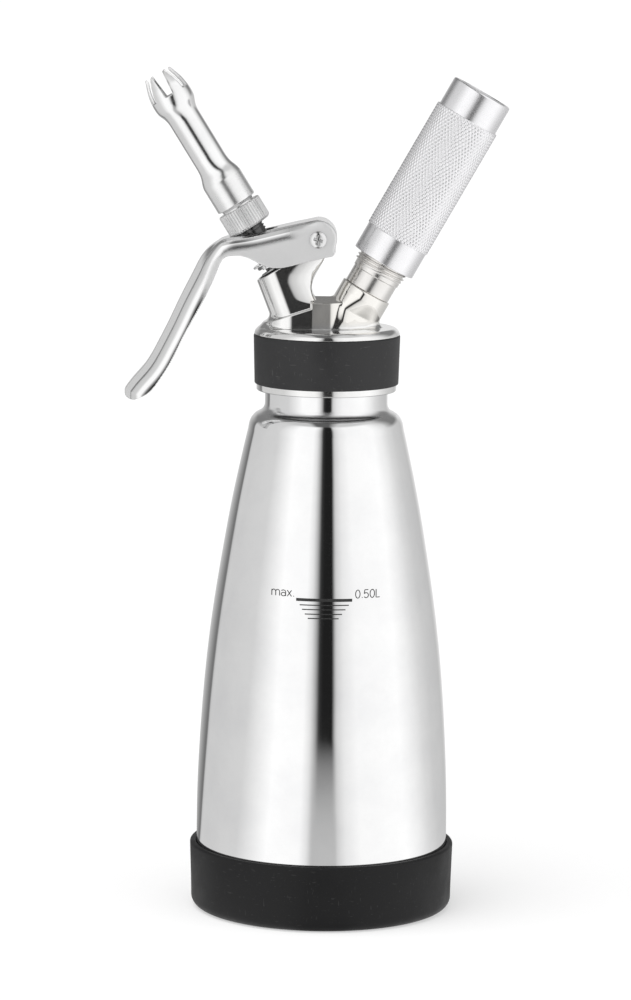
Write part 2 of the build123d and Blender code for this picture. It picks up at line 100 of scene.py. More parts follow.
def densify(p, step):
    out = [p[0]]
    for a, b in zip(p, p[1:]):
        k = max(1, int(math.ceil(np.linalg.norm(b - a) / step)))
        for i in range(1, k + 1):
            out.append(a + (b - a) * i / k)
    return np.array(out)


class Axis:
    """A placed frame: local (s, y, t) to the row frame."""

    def __init__(self, origin=(0, 0, 0), x=(1, 0, 0), z=(0, 0, 1)):
        self.o, self.x, self.z = (np.array(v, float) for v in (origin, x, z))
        self.y = np.cross(self.z, self.x)

    def out(self, s, y, t):
        s, y, t = (np.asarray(v, float)[..., None] for v in (s, y, t))
        return self.o + s * self.x + y * self.y + t * self.z

    def turn(self, n):
        return n[..., :1] * self.x + n[..., 1:2] * self.y + n[..., 2:3] * self.z


WORLD = Axis()
VALVE = Axis((-29.9, 0, 270.7), (0.84805, 0, 0.52992), (-0.52992, 0, 0.84805))
INLET = Axis((22.3, 0, 258.8), (0.87036, 0, -0.49242), (0.49242, 0, 0.87036))


def build(name, verts, quads, tris=None, normals=None, smooth=True):
    """A mesh object from arrays in millimetres."""
    me = bpy.data.meshes.new(name)
    verts = np.asarray(verts, np.float64) * MM
    quads = np.asarray(quads, np.int32).reshape(-1, 4)
    tris = np.zeros((0, 3), np.int32) if tris is None else np.asarray(tris, np.int32).reshape(-1, 3)
    me.vertices.add(len(verts))
    me.vertices.foreach_set("co", verts.astype(np.float32).ravel())
    loops = np.concatenate([quads.ravel(), tris.ravel()])
    me.loops.add(len(loops))
    me.loops.foreach_set("vertex_index", loops.astype(np.int32))
    starts = np.concatenate([np.arange(len(quads)) * 4, len(quads) * 4 + np.arange(len(tris)) * 3])
    me.polygons.add(len(starts))
    me.polygons.foreach_set("loop_start", starts.astype(np.int32))
    me.polygons.foreach_set("use_smooth", np.full(len(starts), smooth))
    me.update(calc_edges=True)
    me.validate(clean_customdata=False)
    if normals is not None and len(me.vertices) == len(normals):
        me.normals_split_custom_set_from_vertices(np.asarray(normals, float).tolist())
    ob = bpy.data.objects.new(name, me)
    bpy.context.scene.collection.objects.link(ob)
    return ob


def revolve(name, prof, axis=WORLD, n=240, closed=True, radius=None, start=0.0):
    """A turned piece from an outline (r, t), going round the section with the
    solid on its left seen along +theta. radius(theta, t, r, row) may change r."""
    p = np.asarray(prof, float)
    if closed and np.linalg.norm(p[0] - p[-1]) < 1e-6:
        p = p[:-1]
    m = len(p)
    th = start + np.arange(n) * 2 * math.pi / n
    r = np.repeat(p[:, :1], n, 1)
    t = np.repeat(p[:, 1:2], n, 1)
    if radius is not None:
        r = radius(th[None, :], t, r, np.arange(m)[:, None])
    pole = p[:, 0] < 1e-9
    verts = axis.out(r * np.cos(th), r * np.sin(th), t)
    index = np.arange(m * n).reshape(m, n)
    for i in np.nonzero(pole)[0]:
        index[i] = index[i, 0]
    rows = range(m if closed else m - 1)
    quads, tris = [], []
    for i in rows:
        j = (i + 1) % m
        if pole[i] and pole[j]:
            continue
        a, b = index[i], index[j]
        an, bn = np.roll(a, -1), np.roll(b, -1)
        if pole[i]:
            tris.append(np.stack([a, bn, b], 1))
        elif pole[j]:
            tris.append(np.stack([a, an, b], 1))
        else:
            quads.append(np.stack([a, an, bn, b], 1))
    quads = np.vstack(quads)
    tris = np.vstack(tris) if tris else np.zeros((0, 3), int)
    used = np.zeros(m * n, bool)
    used[quads.ravel()] = True
    used[tris.ravel()] = True
    remap = np.cumsum(used) - 1
    normals = None
    if radius is None:
        seg = np.diff(np.vstack([p, p[:1]]) if closed else p, axis=0)
        length = np.maximum(np.hypot(*seg.T), 1e-9)
        nrm = np.stack([seg[:, 1], -seg[:, 0]], 1) / length[:, None]
        pn = np.zeros((m, 2))
        k = len(seg)
        for i in range(m):
            before, after = (i - 1) % m, i
            w = np.zeros(2)
            if closed or i > 0:
                w = w + nrm[before % k] / length[before % k]
            if closed or i < m - 1:
                w = w + nrm[after % k] / length[after % k]
            pn[i] = w / max(np.linalg.norm(w), 1e-9)
        nn = np.stack([pn[:, :1] * np.cos(th), pn[:, :1] * np.sin(th), np.repeat(pn[:, 1:2], n, 1)], -1)
        for i in np.nonzero(pole)[0]:
            nn[i] = (0, 0, 1 if pn[i, 1] > 0 else -1)
        normals = axis.turn(nn).reshape(-1, 3)[used]
    return build(name, verts.reshape(-1, 3)[used], remap[quads], remap[tris], normals)


# --------------------------------------------------------------- distance fields
def both(a, b, r):
    """Common part of two bodies, its edge rounded by r."""
    if np.ndim(r) == 0 and r <= 0:
        return np.maximum(a, b)
    return np.minimum(-r, np.maximum(a, b)) + np.hypot(np.maximum(r + a, 0), np.maximum(r + b, 0))


def join(a, b, r):
    """Two bodies together, with a fillet of radius r."""
    if np.ndim(r) == 0 and r <= 0:
        return np.minimum(a, b)
    return np.maximum(r, np.minimum(a, b)) - np.hypot(np.maximum(r - a, 0), np.maximum(r - b, 0))


class Outline:
    """Signed distance to a closed outline in a plane, kept on a fine grid and
    read back with a smooth cubic."""

    def __init__(self, pts, h=0.25, margin=4.0):
        p = np.asarray(pts, float)
        self.h = h
        self.lo = p.min(0) - margin
        n = np.ceil((p.max(0) + margin - self.lo) / h).astype(int) + 1
        u = self.lo[0] + np.arange(n[0]) * h
        v = self.lo[1] + np.arange(n[1]) * h
        q = np.stack(np.meshgrid(u, v, indexing="ij"), -1).reshape(-1, 2).astype(np.float32)
        a, b = p.astype(np.float32), np.roll(p, -1, 0).astype(np.float32)
        e = b - a
        ee = np.maximum((e ** 2).sum(1), 1e-12)
        d = np.empty(len(q), np.float32)
        for k in range(0, len(q), 4000):
            w = q[k:k + 4000, None, :] - a[None]
            c = np.clip((w * e).sum(-1) / ee, 0, 1)
            x = w - c[..., None] * e
            dist = (x ** 2).sum(-1).min(1)
            qy, qx = q[k:k + 4000, 1:2], q[k:k + 4000, 0:1]
            cross = (a[:, 1] <= qy) != (b[:, 1] <= qy)
            with np.errstate(divide="ignore", invalid="ignore"):
                at = a[:, 0] + (qy - a[:, 1]) / (b[:, 1] - a[:, 1]) * e[:, 0]
            inside = (cross & (qx < at)).sum(1) % 2 == 1
            d[k:k + 4000] = np.sqrt(dist) * np.where(inside, -1, 1)
        self.g = d.reshape(n).astype(np.float64)
        self.n = n

    def __call__(self, u, v):
        u, v = np.broadcast_arrays(u, v)
        x = np.clip((u - self.lo[0]) / self.h, 1.0, self.n[0] - 2.001)
        y = np.clip((v - self.lo[1]) / self.h, 1.0, self.n[1] - 2.001)
        i, j = x.astype(int), y.astype(int)
        fx, fy = x - i, y - j

        def weights(f):
            return (((-f + 2) * f - 1) * f / 2, ((3 * f - 5) * f * f + 2) / 2,
                    ((-3 * f + 4) * f + 1) * f / 2, (f - 1) * f * f / 2)
        wx, wy = weights(fx), weights(fy)
        out = np.zeros(u.shape)
        for a in range(4):
            row = np.zeros(u.shape)
            for b in range(4):
                row += self.g[i + a - 1, j + b - 1] * wy[b]
            out += row * wx[a]
        return out


def skin(name, f, lo, hi, h, axis=WORLD, eps=0.12, steps=4):
    """The surface f = 0 as a mesh of even quads, each vertex moved onto the
    surface, with the field's own normals. f takes local s, y, t."""
    n = [int(math.ceil((b - a) / h)) + 1 for a, b in zip(lo, hi)]
    g = [lo[k] + np.arange(n[k]) * h for k in range(3)]
    F = f(g[0][:, None, None], g[1][None, :, None], g[2][None, None, :]).astype(np.float32)
    F = np.broadcast_to(F, n)
    inside = F < 0
    cnt = np.zeros([k - 1 for k in n], np.int8)
    for dx in (0, 1):
        for dy in (0, 1):
            for dz in (0, 1):
                cnt += inside[dx:n[0] - 1 + dx, dy:n[1] - 1 + dy, dz:n[2] - 1 + dz]
    mixed = (cnt > 0) & (cnt < 8)
    cells = np.argwhere(mixed)
    index = np.full(mixed.shape, -1, np.int64)
    index[mixed] = np.arange(len(cells))
    corners = [(dx, dy, dz) for dx in (0, 1) for dy in (0, 1) for dz in (0, 1)]
    val = [F[cells[:, 0] + c[0], cells[:, 1] + c[1], cells[:, 2] + c[2]] for c in corners]
    acc, num = np.zeros((len(cells), 3)), np.zeros(len(cells))
    for a in range(8):
        for b in range(a + 1, 8):
            ca, cb = np.array(corners[a]), np.array(corners[b])
            if abs(ca - cb).sum() != 1:
                continue
            m = (val[a] < 0) != (val[b] < 0)
            t = val[a][m] / (val[a][m] - val[b][m])
            acc[m] += ca + t[:, None] * (cb - ca)
            num[m] += 1
    p = (cells + acc / num[:, None]) * h + np.array(lo)
    start = p.copy()

    def grad(p, e):
        return np.stack([f(p[:, 0] + e, p[:, 1], p[:, 2]) - f(p[:, 0] - e, p[:, 1], p[:, 2]),
                         f(p[:, 0], p[:, 1] + e, p[:, 2]) - f(p[:, 0], p[:, 1] - e, p[:, 2]),
                         f(p[:, 0], p[:, 1], p[:, 2] + e) - f(p[:, 0], p[:, 1], p[:, 2] - e)], 1) / (2 * e)
    for _ in range(steps):
        d = f(p[:, 0], p[:, 1], p[:, 2])
        q = grad(p, 0.04)
        p = p - np.clip(d, -0.3 * h, 0.3 * h)[:, None] * q / np.maximum((q ** 2).sum(1), 0.25)[:, None]
    p = start + np.clip(p - start, -0.75 * h, 0.75 * h)
    nrm = grad(p, eps)
    nrm /= np.maximum(np.linalg.norm(nrm, axis=1), 1e-9)[:, None]
    quads = []
    for ax in range(3):
        s0 = [slice(None)] * 3
        s1 = [slice(None)] * 3
        s0[ax], s1[ax] = slice(0, -1), slice(1, None)
        change = inside[tuple(s0)] != inside[tuple(s1)]
        at = np.argwhere(change)
        b, c = [k for k in range(3) if k != ax]
        ok = (at[:, b] > 0) & (at[:, b] < n[b] - 1) & (at[:, c] > 0) & (at[:, c] < n[c] - 1)
        at = at[ok]
        first = inside[at[:, 0], at[:, 1], at[:, 2]]
        ring = []
        for db, dc in ((-1, -1), (0, -1), (0, 0), (-1, 0)):
            k = at.copy()
            k[:, b] += db
            k[:, c] += dc
            ring.append(index[k[:, 0], k[:, 1], k[:, 2]])
        q = np.stack(ring, 1)
        flip = first if ax != 1 else ~first
        q[~flip] = q[~flip][:, ::-1]
        quads.append(q)
    quads = np.vstack(quads)
    return build(name, axis.out(p[:, 0], p[:, 1], p[:, 2]), quads, None, axis.turn(nrm))


# --------------------------------------------------------------------- materials
def tree_of(name):
    m = bpy.data.materials.new(name)
    m.use_nodes = True
    nt = m.node_tree
    bsdf = nt.nodes["Principled BSDF"]
    return m, nt, bsdf


def link(nt, a, b):
    nt.links.new(a, b)


def noise(nt, scale, detail=4, rough=0.5, vec=None, kind="TEX_NOISE", distortion=0.0):
    n = nt.nodes.new("ShaderNodeTexNoise")
    n.inputs["Scale"].default_value = scale
    n.inputs["Detail"].default_value = detail
    n.inputs["Roughness"].default_value = rough
    n.inputs["Distortion"].default_value = distortion
    if vec is not None:
        link(nt, vec, n.inputs["Vector"])
    return n


def ramp(nt, fac, stops, mode="LINEAR"):
    r = nt.nodes.new("ShaderNodeValToRGB")
    r.color_ramp.interpolation = mode
    el = r.color_ramp.elements
    while len(el) > 1:
        el.remove(el[-1])
    for i, (pos, col) in enumerate(stops):
        c = col if isinstance(col, (tuple, list)) else (col, col, col)
        e = el[0] if i == 0 else el.new(pos)
        e.position = pos
        e.color = (*c, 1)
    if fac is not None:
        link(nt, fac, r.inputs["Fac"])
    return r


def mapping(nt, scale=(1, 1, 1), rot=(0, 0, 0)):
    tc = nt.nodes.new("ShaderNodeTexCoord")
    mp = nt.nodes.new("ShaderNodeMapping")
    mp.inputs["Scale"].default_value = scale
    mp.inputs["Rotation"].default_value = rot
    link(nt, tc.outputs["Object"], mp.inputs["Vector"])
    return mp.outputs["Vector"]


def spread(nt, fac, lo, hi, a=0.0, b=1.0):
    m = nt.nodes.new("ShaderNodeMapRange")
    m.inputs["From Min"].default_value = a
    m.inputs["From Max"].default_value = b
    m.inputs["To Min"].default_value = lo
    m.inputs["To Max"].default_value = hi
    link(nt, fac, m.inputs["Value"])
    return m.outputs["Result"]


def bump(nt, height, strength, distance, normal=None):
    b = nt.nodes.new("ShaderNodeBump")
    b.inputs["Strength"].default_value = strength
    b.inputs["Distance"].default_value = distance
    link(nt, height, b.inputs["Height"])
    if normal is not None:
        link(nt, normal, b.inputs["Normal"])
    return b.outputs["Normal"]


def polished(name, colour, dark, rough=(0.035, 0.075), wave=0.00002, fleck=0.5, metallic=1.0):
    """Mirror-polished metal: faint cloudiness, fine wipe marks, a very slight
    waviness of the surface."""
    m, nt, b = tree_of(name)
    b.inputs["Metallic"].default_value = metallic
    vec = mapping(nt)
    cloud = noise(nt, 55, 5, 0.6, vec)
    r = ramp(nt, cloud.outputs["Fac"], [(0.3, dark), (0.62, colour)])
    link(nt, r.outputs["Color"], b.inputs["Base Color"])
    wipe = noise(nt, 90, 6, 0.7, mapping(nt, (1.0, 1.0, 0.12), (0.25, 0.1, 0.3)))
    link(nt, spread(nt, wipe.outputs["Fac"], rough[0], rough[1], 0.35, 0.7), b.inputs["Roughness"])
    big = noise(nt, 38, 2, 0.4, vec)
    n1 = bump(nt, big.outputs["Fac"], fleck, wave * 4)
    fine = noise(nt, 900, 3, 0.6, vec)
    link(nt, bump(nt, fine.outputs["Fac"], 0.25, wave * 0.15, n1), b.inputs["Normal"])
    return m


def satin(name, colour, dark, rough=(0.22, 0.34), grain=(1, 1, 1), rot=(0, 0, 0), depth=0.00003, scale=900):
    """Turned or brushed metal, with fine grain."""
    m, nt, b = tree_of(name)
    b.inputs["Metallic"].default_value = 1.0
    vec = mapping(nt, grain, rot)
    g = noise(nt, scale, 4, 0.6, vec)
    cloud = noise(nt, 120, 4, 0.6, mapping(nt))
    r = ramp(nt, cloud.outputs["Fac"], [(0.3, dark), (0.65, colour)])
    link(nt, r.outputs["Color"], b.inputs["Base Color"])
    link(nt, spread(nt, g.outputs["Fac"], rough[0], rough[1], 0.3, 0.7), b.inputs["Roughness"])
    link(nt, bump(nt, g.outputs["Fac"], 0.5, depth), b.inputs["Normal"])
    return m


def rubber(name, colour, light, rough=(0.42, 0.6), grain=1500, depth=0.00006, spec=0.45, lint=0.0):
    """Moulded silicone: fine matt grain, a few paler specks of dust, soft patches,
    and lint: short fine paler threads lying on it in three directions."""
    m, nt, b = tree_of(name)
    vec = mapping(nt)
    fine = noise(nt, grain, 4, 0.65, vec)
    patch = noise(nt, 60, 4, 0.6, vec)
    col = ramp(nt, patch.outputs["Fac"], [(0.3, colour), (0.75, light)])
    speck = noise(nt, 2600, 2, 0.5, vec)
    speck_mask = ramp(nt, speck.outputs["Fac"], [(0.70, 0.0), (0.76, 1.0)])
    mix = nt.nodes.new("ShaderNodeMix")
    mix.data_type = "RGBA"
    link(nt, spread(nt, speck_mask.outputs["Color"], 0.0, 0.25), mix.inputs["Factor"])
    link(nt, col.outputs["Color"], mix.inputs["A"])
    mix.inputs["B"].default_value = (0.12, 0.12, 0.12, 1)
    shade = mix.outputs["Result"]
    if lint > 0:
        total = None
        for k, (stretch, turn) in enumerate((((260, 260, 1500), (0.3, 0.2, 0.1)), ((1300, 1300, 240), (0.1, 0.5, 0.2)),
                                             ((330, 1200, 1200), (0.2, 0.4, 0.7)))):
            t = ramp(nt, noise(nt, 1.0, 2, 0.45, mapping(nt, stretch, turn)).outputs["Fac"],
                     [(0.685 + 0.01 * k, 0.0), (0.73 + 0.01 * k, 1.0)]).outputs["Color"]
            if total is None:
                total = t
            else:
                both_t = nt.nodes.new("ShaderNodeMath")
                both_t.operation = "MAXIMUM"
                link(nt, total, both_t.inputs[0])
                link(nt, t, both_t.inputs[1])
                total = both_t.outputs[0]
        lay = nt.nodes.new("ShaderNodeMix")
        lay.data_type = "RGBA"
        link(nt, spread(nt, total, 0.0, lint), lay.inputs["Factor"])
        link(nt, shade, lay.inputs["A"])
        lay.inputs["B"].default_value = (0.10, 0.10, 0.10, 1)
        shade = lay.outputs["Result"]
    link(nt, shade, b.inputs["Base Color"])
    link(nt, spread(nt, patch.outputs["Fac"], rough[0], rough[1], 0.3, 0.7), b.inputs["Roughness"])
    b.inputs["Specular IOR Level"].default_value = spec
    link(nt, bump(nt, fine.outputs["Fac"], 0.6, depth), b.inputs["Normal"])
    return m


STEEL = polished("polished_steel", (0.88, 0.88, 0.88), (0.83, 0.83, 0.835))


def softer_shoulder(m):
    """Where the polishing wheel doesn't reach, in the hollow between shoulder and
    neck, the steel stays softer."""
    nt = m.node_tree
    b = [n for n in nt.nodes if n.type == "BSDF_PRINCIPLED"][0]
    plain = b.inputs["Roughness"].links[0].from_socket
    sep = nt.nodes.new("ShaderNodeSeparateXYZ")
    link(nt, mapping(nt), sep.inputs[0])
    below = spread(nt, sep.outputs["Z"], 0.0, 0.15, 0.1972, 0.1980)
    above = spread(nt, sep.outputs["Z"], 1.0, 0.0, 0.2010, 0.2018)
    hollow = nt.nodes.new("ShaderNodeMath")
    hollow.operation = "MULTIPLY"
    link(nt, below, hollow.inputs[0])
    link(nt, above, hollow.inputs[1])
    total = nt.nodes.new("ShaderNodeMath")
    total.operation = "ADD"
    link(nt, plain, total.inputs[0])
    link(nt, hollow.outputs[0], total.inputs[1])
    link(nt, total.outputs[0], b.inputs["Roughness"])


softer_shoulder(STEEL)
STEEL_HEAD = polished("cast_steel_polished", (0.87, 0.868, 0.862), (0.80, 0.797, 0.79), (0.04, 0.09), 0.00004, 0.6, 0.97)


def warm_inlet(m):
    """The bar and the inlet boss are painted a little warmer towards the inlet."""
    nt = m.node_tree
    b = [n for n in nt.nodes if n.type == "BSDF_PRINCIPLED"][0]
    plain = b.inputs["Base Color"].links[0].from_socket
    sep = nt.nodes.new("ShaderNodeSeparateXYZ")
    link(nt, mapping(nt), sep.inputs[0])
    lean = nt.nodes.new("ShaderNodeMath")
    lean.operation = "SUBTRACT"
    link(nt, sep.outputs["X"], lean.inputs[0])
    link(nt, spread(nt, sep.outputs["Z"], 0.0, 0.020, 0.2445, 0.2645), lean.inputs[1])
    right = spread(nt, lean.outputs[0], 0.0, 1.0, -0.0078, -0.0050)
    above = spread(nt, sep.outputs["Z"], 0.0, 1.0, 0.2330, 0.2350)
    both_ways = nt.nodes.new("ShaderNodeMath")
    both_ways.operation = "MULTIPLY"
    link(nt, right, both_ways.inputs[0])
    link(nt, above, both_ways.inputs[1])
    mix = nt.nodes.new("ShaderNodeMix")
    mix.data_type = "RGBA"
    link(nt, both_ways.outputs[0], mix.inputs[0])
    link(nt, plain, mix.inputs[6])
    mix.inputs[7].default_value = (0.868, 0.850, 0.815, 1)
    link(nt, mix.outputs[2], b.inputs["Base Color"])


warm_inlet(STEEL_HEAD)


def lever_material():
    """Polished like the rest, its side plates left satin: the mesh carries how
    satin each place is."""
    m, nt, b = tree_of("lever_steel")
    b.inputs["Metallic"].default_value = 1.0
    vec = mapping(nt)
    cloud = noise(nt, 55, 5, 0.6, vec)
    link(nt, ramp(nt, cloud.outputs["Fac"], [(0.3, (0.84, 0.84, 0.84)), (0.62, (0.88, 0.88, 0.88))]).outputs["Color"],
         b.inputs["Base Color"])
    at = nt.nodes.new("ShaderNodeAttribute")
    at.attribute_name = "satin"
    wipe = noise(nt, 90, 6, 0.7, mapping(nt, (1.0, 1.0, 0.12), (0.25, 0.1, 0.3)))
    mirror = spread(nt, wipe.outputs["Fac"], 0.045, 0.085, 0.35, 0.7)
    grain = noise(nt, 1600, 4, 0.6, vec)
    matt = spread(nt, grain.outputs["Fac"], 0.50, 0.58, 0.3, 0.7)
    mx = nt.nodes.new("ShaderNodeMix")
    link(nt, at.outputs["Fac"], mx.inputs[0])
    link(nt, mirror, mx.inputs[2])
    link(nt, matt, mx.inputs[3])
    link(nt, mx.outputs[0], b.inputs["Roughness"])
    big = noise(nt, 38, 2, 0.4, vec)
    n1 = bump(nt, big.outputs["Fac"], 0.5, 0.00008)
    link(nt, bump(nt, grain.outputs["Fac"], 0.25, 0.000004, n1), b.inputs["Normal"])
    return m


def tulip_material():
    """Drawn steel: fairly bright along the neck and tines, softer at the foot."""
    m, nt, b = tree_of("nozzle_steel")
    b.inputs["Metallic"].default_value = 1.0
    vec = mapping(nt)
    cloud = noise(nt, 90, 5, 0.6, vec)
    link(nt, ramp(nt, cloud.outputs["Fac"], [(0.3, (0.83, 0.83, 0.83)), (0.62, (0.88, 0.88, 0.88))]).outputs["Color"],
         b.inputs["Base Color"])
    along = nt.nodes.new("ShaderNodeVectorMath")
    along.operation = "DOT_PRODUCT"
    link(nt, vec, along.inputs[0])
    along.inputs[1].default_value = (-0.52992, 0.0, 0.84805)
    t0 = 0.0299 * 0.52992 + 0.2707 * 0.84805
    foot = spread(nt, along.outputs["Value"], 0.11, 0.0, t0 + 0.0205, t0 + 0.029)
    wipe = noise(nt, 150, 6, 0.7, vec)
    base = spread(nt, wipe.outputs["Fac"], 0.14, 0.19, 0.35, 0.7)
    add = nt.nodes.new("ShaderNodeMath")
    add.operation = "ADD"
    link(nt, base, add.inputs[0])
    link(nt, foot, add.inputs[1])
    link(nt, add.outputs[0], b.inputs["Roughness"])
    fine = noise(nt, 1100, 3, 0.6, vec)
    link(nt, bump(nt, fine.outputs["Fac"], 0.25, 0.000004), b.inputs["Normal"])
    return m


STEEL_LEVER = lever_material()
STEEL_TULIP = tulip_material()
STEEL_IN = satin("drawn_steel", (0.62, 0.62, 0.62), (0.5, 0.5, 0.5), (0.18, 0.3))
# Satin steel for the lip's underside: its rougher finish is real, its darker colour is painted shade, so the shoulder
# below reflects it dark.
STEEL_UNDER_SHADE = satin("underside_satin_painted_shade", (0.45, 0.45, 0.45), (0.36, 0.36, 0.36), (0.3, 0.4))
NUT = satin("knurled_nut_steel", (0.80, 0.80, 0.80), (0.70, 0.70, 0.70), (0.25, 0.38), depth=0.00005)
PIN = satin("pin_steel", (0.78, 0.78, 0.78), (0.68, 0.68, 0.68), (0.12, 0.2))
SPRING = satin("spring_wire", (0.42, 0.42, 0.42), (0.3, 0.3, 0.3), (0.2, 0.3))
NICKEL = polished("nickel_plate", (0.85, 0.835, 0.815), (0.77, 0.752, 0.73), (0.21, 0.27), 0.00002, 0.4)
ALU = satin("satin_aluminium", (0.905, 0.90, 0.915), (0.87, 0.865, 0.88), (0.24, 0.29), depth=0.000002, scale=1400)
# The stem's near-black colour is painted shade: it stands in for the shade the parts around it cast on it.
STEM_SHADED = satin("stem_steel_painted_shade", (0.14, 0.14, 0.14), (0.07, 0.07, 0.07), (0.18, 0.3))
CHARGER = satin("charger_zinc", (0.7, 0.7, 0.7), (0.6, 0.6, 0.6), (0.2, 0.3))
RUBBER = rubber("black_silicone", (0.012, 0.012, 0.013), (0.022, 0.022, 0.023), lint=0.32)
RUBBER_BOOT = rubber("boot_silicone", (0.006, 0.006, 0.0065), (0.010, 0.010, 0.0105), spec=0.22, lint=0.15)
SEAL = rubber("seal_silicone", (0.3, 0.3, 0.3), (0.36, 0.36, 0.36))
SEAL_BLACK = rubber("seal_rubber", (0.02, 0.02, 0.02), (0.03, 0.03, 0.03))
GETTER = satin("getter_alloy", (0.3, 0.3, 0.3), (0.2, 0.2, 0.2), (0.5, 0.7))
RESIN = rubber("seal_resin", (0.35, 0.3, 0.2), (0.45, 0.4, 0.3))


def ink_material():
    m, nt, b = tree_of("fill_mark_ink")
    vec = mapping(nt)
    g = noise(nt, 1500, 3, 0.6, vec)
    r = ramp(nt, g.outputs["Fac"], [(0.3, 0.012), (0.7, 0.03)])
    link(nt, r.outputs["Color"], b.inputs["Base Color"])
    link(nt, spread(nt, g.outputs["Fac"], 0.3, 0.45, 0.3, 0.7), b.inputs["Roughness"])
    return m


INK = ink_material()

FALLBACK = {"outer_shell": STEEL, "head_cap": STEEL_HEAD, "lever": STEEL_LEVER, "nozzle_tulip": STEEL_TULIP,
            "inner_vessel": STEEL_IN, "shell_base_disc": STEEL_IN, "spring_cap": STEEL,
            "valve_retainer": STEEL_IN, "valve_stem": STEM_SHADED, "nozzle_nut": NUT,
            "pivot_pin": PIN, "pivot_cap": PIN, "valve_spring": SPRING, "inlet_stud": NICKEL,
            "piercing_pin": PIN, "gas_charger": CHARGER, "charger_holder": ALU,
            "rubber_boot": RUBBER_BOOT, "grip_ring": RUBBER, "head_gasket": SEAL,
            "stem_o_ring": SEAL_BLACK, "valve_seal": SEAL_BLACK, "nozzle_gasket": SEAL_BLACK,
            "inlet_gasket": SEAL_BLACK, "charger_seal": SEAL_BLACK, "non_return_valve": SEAL_BLACK,
            "vacuum_seal_plug": RESIN, "getter_pad": GETTER}
for name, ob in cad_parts.items():
    ob.data.materials.clear()
    ob.data.materials.append(FALLBACK.get(name, STEEL_IN))


def place(ob, mat, body, node=None):
    ob.data.materials.append(mat)
    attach(ob, body)
    if node:
        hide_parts(node)
    return ob


# ------------------------------------------------------------------------ bottle
side = [(50.0, 9.0), (50.0, 20.0), (49.9, 30.6), (49.8, 43.7), (49.1, 63.2),
        (47.9, 82.7), (46.2, 102.1), (43.6, 123.1), (40.3, 144.0), (36.9, 163.3),
        (33.6, 179.2), (31.6, 188.2), (30.7, 192.0)]
shoulder = [(30.7, 192.0), (30.2, 194.6), (29.2, 196.6), (27.4, 198.2),
            (25.5, 199.3), (24.5, 200.7), (24.2, 202.4)]
wall = 0.8


def arc(cr, ct, r, a0, a1, n=12):
    a = np.radians(np.linspace(a0, a1, n))
    return np.stack([cr + r * np.cos(a), ct + r * np.sin(a)], 1)


side_c, shoulder_c = spline(side, 16), spline(shoulder, 8)


def inward(p, d):
    g = np.gradient(p, axis=0)
    g /= np.maximum(np.hypot(*g.T), 1e-9)[:, None]
    return p + np.stack([-g[:, 1], g[:, 0]], 1) * d


shell_prof = np.vstack([
    [[41.0, 3.0]], arc(44.0, 9.0, 6.0, -90, 0), side_c[1:], shoulder_c[1:],
    [[24.2, 204.0], [24.2, 208.3], [24.2, 208.4], [24.02, 208.4], [24.02, 208.3], [24.02, 206.25],
     [24.02, 206.15], [23.4, 206.15], [23.4, 206.05], [23.4, 202.4]],
    inward(shoulder_c, wall)[::-1][2:-2], inward(side_c, wall)[::-1][4:],
    arc(44.0, 9.0, 5.2, 0, -90), [[41.0, 3.8]]])
shell = revolve("bottle_shell", shell_prof, n=384)
place(shell, STEEL, "bottle", "outer_shell")

boot_prof = np.vstack([
    [[0.0, 0.0]], arc(47.9, 4.0, 4.0, -90, 0, 10), [[51.95, 8.0], [52.2, 16.0]],
    arc(51.5, 25.2, 1.0, 0, 78, 8), arc(50.75, 25.55, 0.65, 90, 175, 6),
    [[50.08, 22.0]], arc(44.06, 8.98, 6.0, 0, -90, 10), [[0.0, 2.98]]])
boot = revolve("boot", boot_prof, n=256)
place(boot, RUBBER_BOOT, "bottle", "rubber_boot")

# ---------------------------------------------------------------- the fill mark
shell_z, shell_r = side_c[:, 1], side_c[:, 0]


def on_shell(x, z, lift=0.035):
    r = np.interp(z, shell_z, shell_r) + lift
    return np.stack([x, -np.sqrt(r * r - x * x), z], -1)


def stroke(paths, width):
    """Flat strips of one width along paths in (x, z), laid on the shell."""
    verts, quads, base = [], [], 0
    for path in paths:
        p = densify(np.array(path, float), 0.6)
        g = np.gradient(p, axis=0)
        g /= np.maximum(np.hypot(*g.T), 1e-9)[:, None]
        n = np.stack([-g[:, 1], g[:, 0]], 1) * width / 2
        for lift in (0.035, 0.0):
            verts.append(on_shell(p[:, 0] + n[:, 0], p[:, 1] + n[:, 1], lift))
            verts.append(on_shell(p[:, 0] - n[:, 0], p[:, 1] - n[:, 1], lift))
        k = len(p)
        i = np.arange(k - 1)
        a, b, c, d = base, base + k, base + 2 * k, base + 3 * k
        for u, v in ((a, b), (b, d), (d, c), (c, a)):
            quads.append(np.stack([u + i, v + i, v + i + 1, u + i + 1], 1))
        quads.append(np.array([[a, c, d, b], [a + k - 1, b + k - 1, d + k - 1, c + k - 1]]))
        base += 4 * k
    return np.vstack(verts), np.vstack(quads)


def ring_path(cx, cz, rx, rz, a0=0, a1=360, n=25):
    a = np.radians(np.linspace(a0, a1, n))
    return np.stack([cx + rx * np.cos(a), cz + rz * np.sin(a)], 1)


